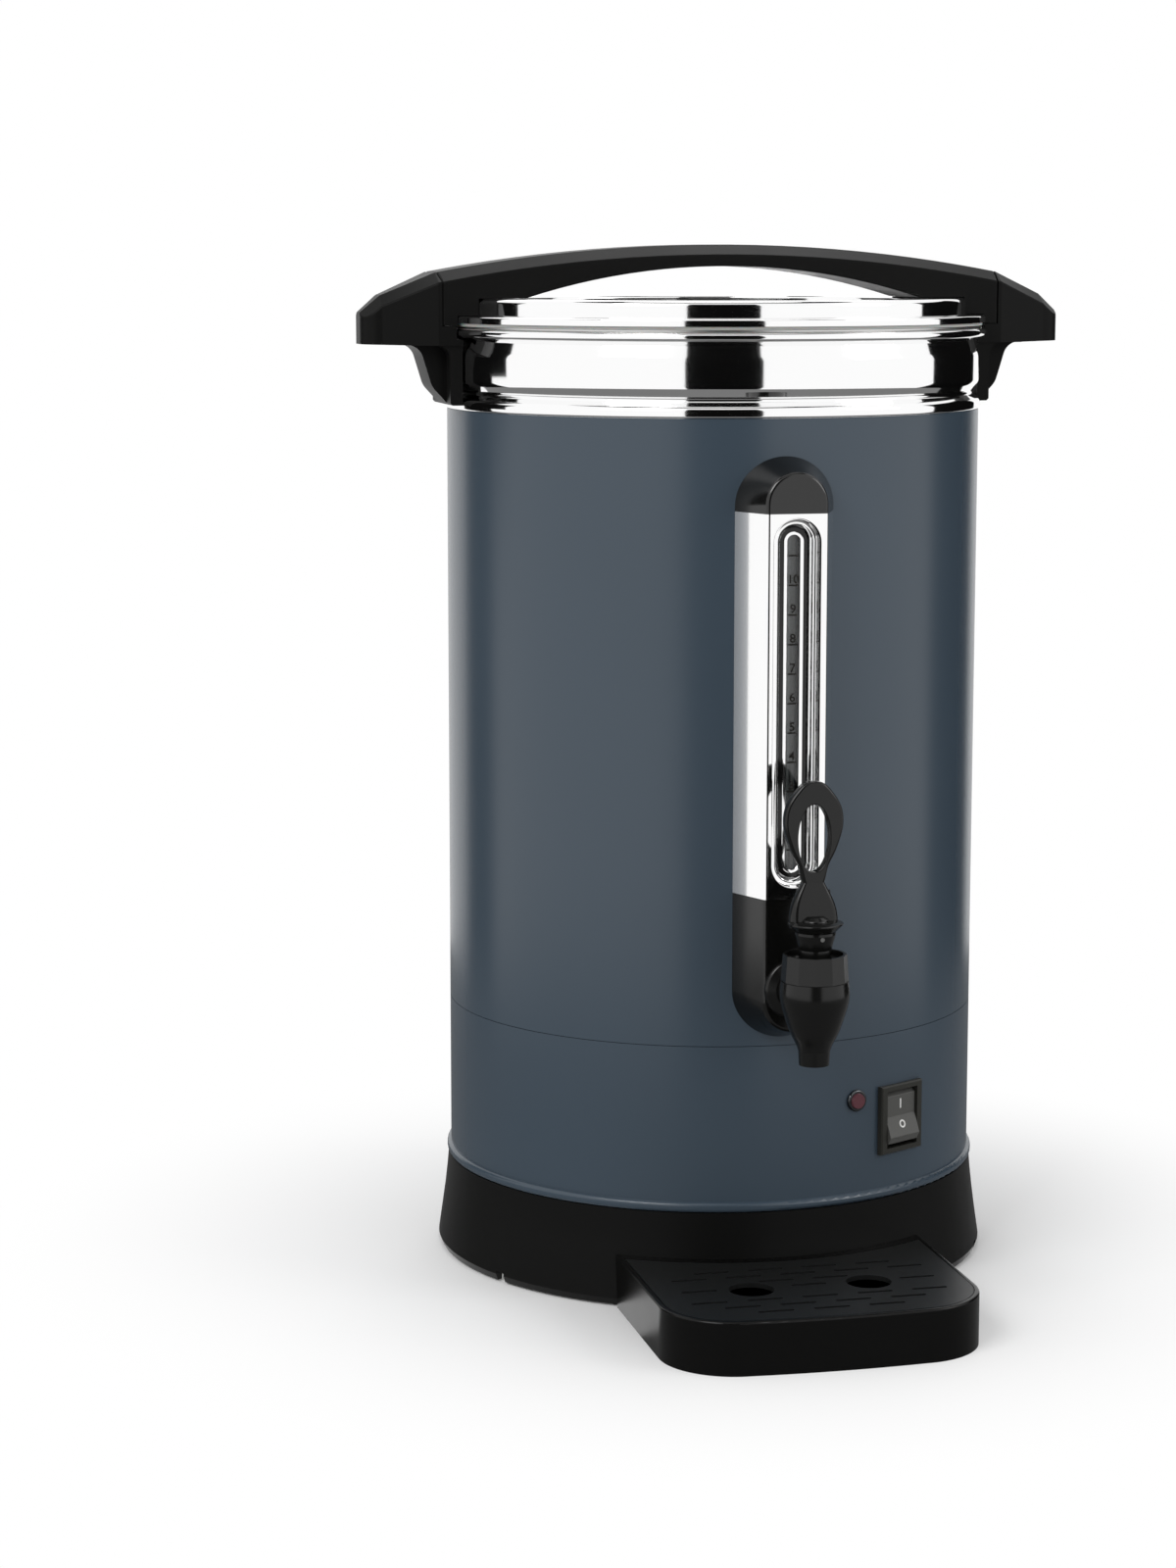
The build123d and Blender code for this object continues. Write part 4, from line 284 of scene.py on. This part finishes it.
# ---------------------------------------------------------------- painted shells
# Two rolled steel shells, the lower one with a bead at its foot, in a satin slate powder coat.
# The coat has a faint orange peel, and its tone wanders a little from place to place.
slate = bpy.data.materials.new("slate_powder_coat")
slate.use_nodes = True
tree = slate.node_tree
shader = tree.nodes["Principled BSDF"]
shader.inputs["Roughness"].default_value = 0.25
shader.inputs["Specular IOR Level"].default_value = 0.5
place = tree.nodes.new("ShaderNodeTexCoord")
cloud = tree.nodes.new("ShaderNodeTexNoise")
cloud.inputs["Scale"].default_value = 9.0
cloud.inputs["Detail"].default_value = 4.0
tree.links.new(place.outputs["Object"], cloud.inputs["Vector"])
tone = tree.nodes.new("ShaderNodeMix")
tone.data_type = "RGBA"
tone.inputs["A"].default_value = (0.043, 0.0635, 0.0855, 1.0)
tone.inputs["B"].default_value = (0.048, 0.0695, 0.0940, 1.0)
tree.links.new(cloud.outputs["Fac"], tone.inputs["Factor"])
tree.links.new(tone.outputs["Result"], shader.inputs["Base Color"])
peel = tree.nodes.new("ShaderNodeTexNoise")
peel.inputs["Scale"].default_value = 900.0
peel.inputs["Detail"].default_value = 3.0
tree.links.new(place.outputs["Object"], peel.inputs["Vector"])
bump = tree.nodes.new("ShaderNodeBump")
bump.inputs["Strength"].default_value = 0.05
bump.inputs["Distance"].default_value = 0.0003
tree.links.new(peel.outputs["Fac"], bump.inputs["Height"])
tree.links.new(bump.outputs["Normal"], shader.inputs["Normal"])
dress(slate, "shell_lower", "shell_upper")


# ---------------------------------------------------------------- gauge cover and other metal
# Polished stainless sheet for the gauge cover; brushed stainless for the tank, the basket and the
# fittings; zinc plate for the bottom cover, the tank's support, the pins and the screws; cast
# aluminium for the heater plate. Streak is the grain along each axis: brushing runs round the urn.
def steel(name, colour, roughness, lines, streak):
    material = bpy.data.materials.new(name)
    material.use_nodes = True
    tree = material.node_tree
    shader = tree.nodes["Principled BSDF"]
    shader.inputs["Base Color"].default_value = (*colour, 1.0)
    shader.inputs["Metallic"].default_value = 1.0
    place = tree.nodes.new("ShaderNodeTexCoord")
    stretch = tree.nodes.new("ShaderNodeMapping")
    stretch.inputs["Scale"].default_value = streak
    tree.links.new(place.outputs["Object"], stretch.inputs["Vector"])
    grain = tree.nodes.new("ShaderNodeTexNoise")
    grain.inputs["Scale"].default_value = 1.0
    grain.inputs["Detail"].default_value = 3.0
    tree.links.new(stretch.outputs["Vector"], grain.inputs["Vector"])
    spread = 0.3
    gloss = tree.nodes.new("ShaderNodeMapRange")
    gloss.inputs["To Min"].default_value = roughness * (1 - spread)
    gloss.inputs["To Max"].default_value = roughness * (1 + spread)
    tree.links.new(grain.outputs["Fac"], gloss.inputs["Value"])
    tree.links.new(gloss.outputs["Result"], shader.inputs["Roughness"])
    bump = tree.nodes.new("ShaderNodeBump")
    bump.inputs["Strength"].default_value = lines
    bump.inputs["Distance"].default_value = 0.0001
    tree.links.new(grain.outputs["Fac"], bump.inputs["Height"])
    tree.links.new(bump.outputs["Normal"], shader.inputs["Normal"])
    return material


polished = steel("polished_steel", (0.97, 0.97, 0.97), 0.06, 0.01, (8.0, 8.0, 2200.0))
dress(polished, "gauge_cover")
dress(steel("smoked_chrome", (0.10, 0.105, 0.11), 0.16, 0.01, (900.0, 900.0, 900.0)), "lamp_bezel")
brushed = steel("brushed_steel", (0.62, 0.62, 0.61), 0.28, 0.10, (20.0, 20.0, 2600.0))
dress(brushed, "tank", "heating_element", "gauge_fitting", "tap_shank", "shank_nut", "tap_stem",
      "tap_pin", "pump_tube", "pump_foot", "filter_basket", "basket_cover")
plated = steel("zinc_plate", (0.55, 0.55, 0.54), 0.34, 0.05, (300.0, 300.0, 300.0))
dress(plated, "bottom_cover", "tank_support", "inlet_pins", "gauge_screws", "handle_screws")
dress(steel("cast_aluminium", (0.66, 0.66, 0.67), 0.45, 0.3, (700.0, 700.0, 700.0)), "heater_plate")


# ---------------------------------------------------------------- seals and washers
# Moulded white silicone: the ribbed ring under the lid's brim, the sight tube's two end seals,
# the washers on the tap's shank and the cup that closes the tap. Light goes a little way in.
silicone = moulded("white_silicone", (0.62, 0.62, 0.60), 0.45, 0.4, 0.02)
shader = silicone.node_tree.nodes["Principled BSDF"]
shader.inputs["Subsurface Weight"].default_value = 0.3
shader.inputs["Subsurface Scale"].default_value = 0.002
dress(silicone, "lid_seal", "tube_seal_lower", "tube_seal_upper", "shank_washers", "seat_cup")


# ---------------------------------------------------------------- sight tube, lens, lamp and scale
# A drawn glass tube stands behind the clear lens of the gauge, in front of a thin grey strip.
# The pilot lamp has a dull red moulded lens, dark while the lamp is off.
glass = bpy.data.materials.new("clear_glass")
glass.use_nodes = True
shader = glass.node_tree.nodes["Principled BSDF"]
shader.inputs["Base Color"].default_value = (0.95, 0.97, 0.97, 1.0)
shader.inputs["Roughness"].default_value = 0.02
shader.inputs["IOR"].default_value = 1.47
shader.inputs["Transmission Weight"].default_value = 1.0
dress(glass, "sight_tube", "gauge_lens")
dress(moulded("lamp_red", (0.115, 0.040, 0.050), 0.15, 0.5, 0.0), "lamp_lens")
dress(moulded("scale_grey", (0.18, 0.18, 0.18), 0.5, 0.3, 0.0), "level_scale")


# ---------------------------------------------------------------- collar and lid
# Both are spun from stainless sheet on a lathe and polished, so each is a plain turned profile
# with rolled edges. A profile's rows are radius, height and corner rounding, in millimetres.
def spun(name, node, body, profile, closed):
    mesh = bmesh.new()
    points = [mesh.verts.new((radius / 1000, 0.0, height / 1000))
              for radius, height, rounding in profile]
    wires = [mesh.edges.new(pair) for pair in zip(points, points[1:])]
    if closed:
        wires.append(mesh.edges.new((points[-1], points[0])))
    bmesh.ops.spin(mesh, geom=points + wires, cent=(0, 0, 0), axis=(0, 0, 1), angle=2 * pi,
                   steps=192, use_merge=True)
    bmesh.ops.remove_doubles(mesh, verts=mesh.verts, dist=1e-6)
    for radius, height, rounding in profile:
        if rounding:
            ring = []
            for rim in mesh.edges:
                if all(abs(end.co.z - height / 1000) < 1e-6 for end in rim.verts):
                    if all(abs(end.co.xy.length - radius / 1000) < 1e-5 for end in rim.verts):
                        ring.append(rim)
            bmesh.ops.bevel(mesh, geom=ring, offset=rounding / 1000, offset_type="OFFSET",
                            affect="EDGES", segments=5, profile=0.5, material=-1)
    bmesh.ops.recalc_face_normals(mesh, faces=mesh.faces)
    for face in mesh.faces:
        face.smooth = True
    piece = placed(name, mesh, polished)
    piece.data.set_sharp_from_angle(angle=radians(40))
    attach(piece, body)
    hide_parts(node)
    return piece


def punch_out(piece, punch_mesh, crossing):
    """Cut a shape out of a piece; crossing says that the shape is made of parts that cross."""
    punch = placed("punch", punch_mesh)
    punched = piece.modifiers.new("punched", "BOOLEAN")
    punched.operation = "DIFFERENCE"
    punched.solver = "EXACT"
    punched.use_self = crossing
    punched.object = punch
    depsgraph = bpy.context.evaluated_depsgraph_get()
    cut_data = bpy.data.meshes.new_from_object(piece.evaluated_get(depsgraph))
    piece.modifiers.clear()
    piece.data = cut_data
    bpy.data.objects.remove(punch)


spun("collar", "rim_collar", "urn", (
    (128.25, 411.5, 0.0), (129.05, 411.5, 0.0), (129.05, 418.5, 0.0), (130.9, 418.5, 1.0),
    (130.9, 422.9, 1.4), (126.8, 426.26, 1.4), (130.4, 431.3, 1.4), (130.4, 444.9, 1.5),
    (128.3, 452.9, 0.0), (133.8, 452.9, 2.0), (133.8, 457.3, 2.0), (127.5, 457.3, 0.0),
    (127.5, 452.9, 0.0), (129.6, 444.9, 0.8), (129.6, 431.3, 0.8), (126.0, 426.26, 0.8),
    (128.25, 421.9, 0.6)), True)
pressing = spun("lid_pressing", "lid", "lid", (
    (0.0, 459.2, 0.0), (101.1, 459.2, 1.8), (101.1, 471.3, 1.6), (123.4, 471.3, 2.4),
    (123.4, 463.2, 0.4), (133.4, 463.2, 0.9), (133.4, 459.9, 0.0), (132.5, 459.9, 0.0),
    (132.5, 462.3, 0.0), (122.9, 462.3, 0.0), (122.9, 448.3, 0.0), (122.0, 448.3, 0.0),
    (122.0, 463.2, 0.0), (122.5, 463.2, 0.0), (122.5, 470.4, 1.2), (102.0, 470.4, 0.9),
    (102.0, 458.3, 1.8), (0.0, 458.3, 0.0)), False)


# ---------------------------------------------------------------- steam vent
# A 4 mm hole punched through the sunk panel of the lid, in front of the arched handle.
# It lets the steam of the percolating coffee out before it can lift the lid.
vent_mesh = bmesh.new()
bmesh.ops.create_cone(vent_mesh, cap_ends=True, segments=40, radius1=0.002, radius2=0.002,
                      depth=0.01, matrix=Matrix.Translation((0.0, -0.0708, 0.4588)))
punch_out(pressing, vent_mesh, False)


# ---------------------------------------------------------------- window frame and rings of the lens
# The frame is a bright moulding in the slot of the gauge cover: two slopes with a ledge between
# them. The lens in it has a black border printed round its edge and a bright rib inside that.
def racetrack_rings(name, rings, low, high, material):
    """Upright round-ended band, swept through rings of (half width, depth from the drum's axis)."""
    mesh = bmesh.new()
    half = rings[0][0] / 1000
    first = bmesh.ops.create_circle(mesh, cap_ends=False, radius=half, segments=96,
                                    matrix=Matrix.Rotation(pi / 2, 4, "X"))
    loop = first["verts"]
    bottom, top = low / 1000 + half, high / 1000 - half
    for point in loop:
        point.co.y = -rings[0][1] / 1000
        point.co.z += top if point.co.z > 1e-7 else bottom
    edges = list(dict.fromkeys(edge for point in loop for edge in point.link_edges))
    for ring_half, depth in rings[1:]:
        made = bmesh.ops.extrude_edge_only(mesh, edges=edges)["geom"]
        points = [item for item in made if isinstance(item, bmesh.types.BMVert)]
        edges = [item for item in made if isinstance(item, bmesh.types.BMEdge)
                 and all(end in points for end in item.verts)]
        for point in points:
            middle = min(max(point.co.z, bottom), top)
            point.co.x *= ring_half / 1000 / half
            point.co.z = middle + (point.co.z - middle) * ring_half / 1000 / half
            point.co.y = -depth / 1000
        half = ring_half / 1000
    bmesh.ops.recalc_face_normals(mesh, faces=mesh.faces)
    for face in mesh.faces:
        face.smooth = True
    piece = placed(name, mesh, material)
    piece.data.set_sharp_from_angle(angle=radians(25))
    return piece


window = racetrack_rings("window_frame", (
    (11.15, 142.1), (11.15, 149.2), (11.0, 149.4), (10.75, 149.35), (9.65, 146.95), (9.4, 146.85),
    (8.6, 146.85), (8.4, 146.7), (6.85, 143.7), (6.7, 143.5), (6.7, 142.1), (11.15, 142.1)),
    204.25, 374.25, polished)
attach(window, "urn")
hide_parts("gauge_window_frame")
border = racetrack_rings("lens_border", (
    (6.5, 143.52), (6.5, 143.62), (4.62, 143.62), (4.62, 143.52)),
    208.75, 369.75, moulded("border_black", (0.006, 0.006, 0.006), 0.10, 0.4, 0.0))
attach(border, "urn")
bright = racetrack_rings("lens_rib", (
    (4.62, 143.52), (4.62, 144.12), (4.4, 144.32), (3.3, 144.32), (3.08, 144.12), (3.08, 143.52)),
    210.63, 367.87, polished)
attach(bright, "urn")


# ---------------------------------------------------------------- tap spring
# Stainless spring between the seat cup and the neck of the tap, its flat coils joined as rings.
# In the urn its upper end stays where it is and it shortens as the lever lifts the stem; here it is
# attached to the drum and keeps its length.
def merged_copy(node):
    """A CAD node's loose triangles as one mesh."""
    mesh = bmesh.new()
    mesh.from_mesh(nodes[node].data)
    bmesh.ops.remove_doubles(mesh, verts=mesh.verts, dist=1e-6)
    return mesh


coil_mesh = merged_copy("tap_spring")
for face in coil_mesh.faces:
    face.smooth = True
coils = placed("spring_coils", coil_mesh, brushed)
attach(coils, "urn")
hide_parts("tap_spring")
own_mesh(coils)


# ---------------------------------------------------------------- screws that can be seen
# Zinc-plated pan-head screws with a cross recess punched in each head: two hold the inlet, four
# hold the bottom cover to the skirt's bosses, and two go up through the lid into the arch's feet.
def cross_recessed(name, node, body, heads, outward):
    screws = placed(name, merged_copy(node), plated)
    arm_length, arm_width, arm_depth = 0.0036, 0.0008, 0.0022
    askew = 0.3
    arm = Matrix.Diagonal((arm_length, arm_width, arm_depth, 1.0))
    upright = Vector(outward).to_track_quat("Z", "Y").to_matrix().to_4x4()
    recess_mesh = bmesh.new()
    for head in heads:
        for quarter in (0, pi / 2):
            driven = Matrix.Rotation(quarter + askew, 4, "Z")
            bmesh.ops.create_cube(recess_mesh, size=1.0,
                                  matrix=Matrix.Translation(head) @ upright @ driven @ arm)
    punch_out(screws, recess_mesh, True)
    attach(screws, body)
    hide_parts(node)


cross_recessed("inlet_cross_screws", "inlet_screws", "urn",
               [(-0.020, 0.13455, 0.086), (0.020, 0.13455, 0.086)], (0, 1, 0))
cross_recessed("base_cross_screws", "base_screws", "urn",
               [(0.0, -0.121, 0.00125), (0.121, 0.0, 0.00125),
                (0.0, 0.121, 0.00125), (-0.121, 0.0, 0.00125)], (0, 0, -1))
cross_recessed("lid_cross_screws", "lid_screws", "lid",
               [(-0.1107, 0.0, 0.46845), (0.1107, 0.0, 0.46845)], (0, 0, -1))


# ---------------------------------------------------------------- level marks
# Dark print on the lens, inside the bright rib: eleven strokes one level apart, and the numbers
# 1 to 10, each standing just above its stroke. The heights of the levels are in millimetres.
mark_ink = moulded("mark_ink", (0.014, 0.013, 0.011), 0.5, 0.2, 0.0)
lens_face = -0.14353
first_level, level_step = 223.9, 13.56
number_drop, stroke_drop = 0.0016, 0.0026
stroke_length, ink_thickness, stroke_height = 0.0044, 0.00004, 0.0007
numbers, strokes = 10, 11
for count in range(1, strokes + 1):
    level = (first_level + level_step * (count - 1)) / 1000
    stroke_mesh = bmesh.new()
    bmesh.ops.create_cube(stroke_mesh, size=1.0,
                          matrix=Matrix.Translation((0.0, lens_face, level - stroke_drop))
                          @ Matrix.Diagonal((stroke_length, ink_thickness, stroke_height, 1.0)))
    bmesh.ops.bevel(stroke_mesh, geom=stroke_mesh.edges, offset=0.00001, offset_type="OFFSET",
                    affect="EDGES", segments=1, profile=0.5, material=-1)
    stroke = placed(f"level_stroke_{count}", stroke_mesh, mark_ink)
    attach(stroke, "urn")
    if count <= numbers:
        words = bpy.data.curves.new(f"level_{count}", "FONT")
        words.body = str(count)
        words.size = 0.0056
        words.offset = 0.00008
        words.extrude = ink_thickness / 2
        words.align_x = "CENTER"
        written = bpy.data.objects.new(f"level_{count}", words)
        scene.collection.objects.link(written)
        depsgraph = bpy.context.evaluated_depsgraph_get()
        number_data = bpy.data.meshes.new_from_object(written.evaluated_get(depsgraph))
        bpy.data.objects.remove(written)
        number_data.transform(Matrix.Translation((0.0, lens_face, level - number_drop))
                              @ Matrix.Rotation(pi / 2, 4, "X"))
        number_data.materials.clear()
        number_data.materials.append(mark_ink)
        printed = bpy.data.objects.new(f"level_number_{count}", number_data)
        scene.collection.objects.link(printed)
        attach(printed, "urn")


# ---------------------------------------------------------------- ON and OFF marks
# White I and O, pad-printed on the two faces of the rocker, so they tilt with it.
# Each lies flat on its face and stands upright, square to the turn of the switch on the drum.
mark_white = moulded("mark_white", (0.80, 0.80, 0.78), 0.5, 0.3, 0.0)
switch_turn = radians(29.4)
beside = Vector((cos(switch_turn), sin(switch_turn), 0.0))
ink_lift, half_ink = 0.00003, 0.00008
bar_width, bar_height = 0.0008, 0.0047
outer_o, inner_o = 0.00195, 0.00118
for name, place, outward in (
    ("mark_on", (0.06426, -0.11405, 0.0912), (0.491, -0.871, 0.003)),
    ("mark_off", (0.06497, -0.11530, 0.0814), (0.462, -0.819, 0.339)),
):
    outward = Vector(outward).normalized()
    on_face = Matrix((beside, -outward, -outward.cross(beside))).transposed().to_4x4()
    on_face.translation = Vector(place) + outward * ink_lift
    mark_mesh = bmesh.new()
    if name == "mark_on":
        bmesh.ops.create_cube(mark_mesh, size=1.0,
                              matrix=Matrix.Diagonal((bar_width, 2 * half_ink, bar_height, 1.0)))
        bmesh.ops.bevel(mark_mesh, geom=mark_mesh.edges, offset=0.00004, offset_type="OFFSET",
                        affect="EDGES", segments=2, profile=0.5, material=-1)
    else:
        corners = [mark_mesh.verts.new(corner) for corner in (
            (outer_o, -half_ink, 0.0), (outer_o, half_ink, 0.0),
            (inner_o, half_ink, 0.0), (inner_o, -half_ink, 0.0))]
        sides = [mark_mesh.edges.new((corners[side], corners[side - 1])) for side in range(4)]
        bmesh.ops.spin(mark_mesh, geom=corners + sides, cent=(0, 0, 0), axis=(0, 1, 0),
                       angle=2 * pi, steps=48, use_merge=True)
    bmesh.ops.transform(mark_mesh, matrix=on_face, verts=mark_mesh.verts)
    bmesh.ops.recalc_face_normals(mark_mesh, faces=mark_mesh.faces)
    mark = placed(name, mark_mesh, mark_white)
    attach(mark, "rocker")


# ---------------------------------------------------------------- spot on the tap's neck
# A small plated rivet set in the front of the neck, under the lever's flange.
# Its head is a very shallow cone, 2 mm across.
spot_mesh = bmesh.new()
neck_front = Vector((0.044, -0.962, -0.269)).normalized()
facing = neck_front.to_track_quat("Z", "Y").to_matrix().to_4x4()
facing.translation = (0.00078, -0.19224, 0.1883)
bmesh.ops.create_cone(spot_mesh, cap_ends=True, segments=40, radius1=0.00105, radius2=0.00095,
                      depth=0.0003, matrix=facing)
spot = placed("neck_spot", spot_mesh, plated)
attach(spot, "urn")
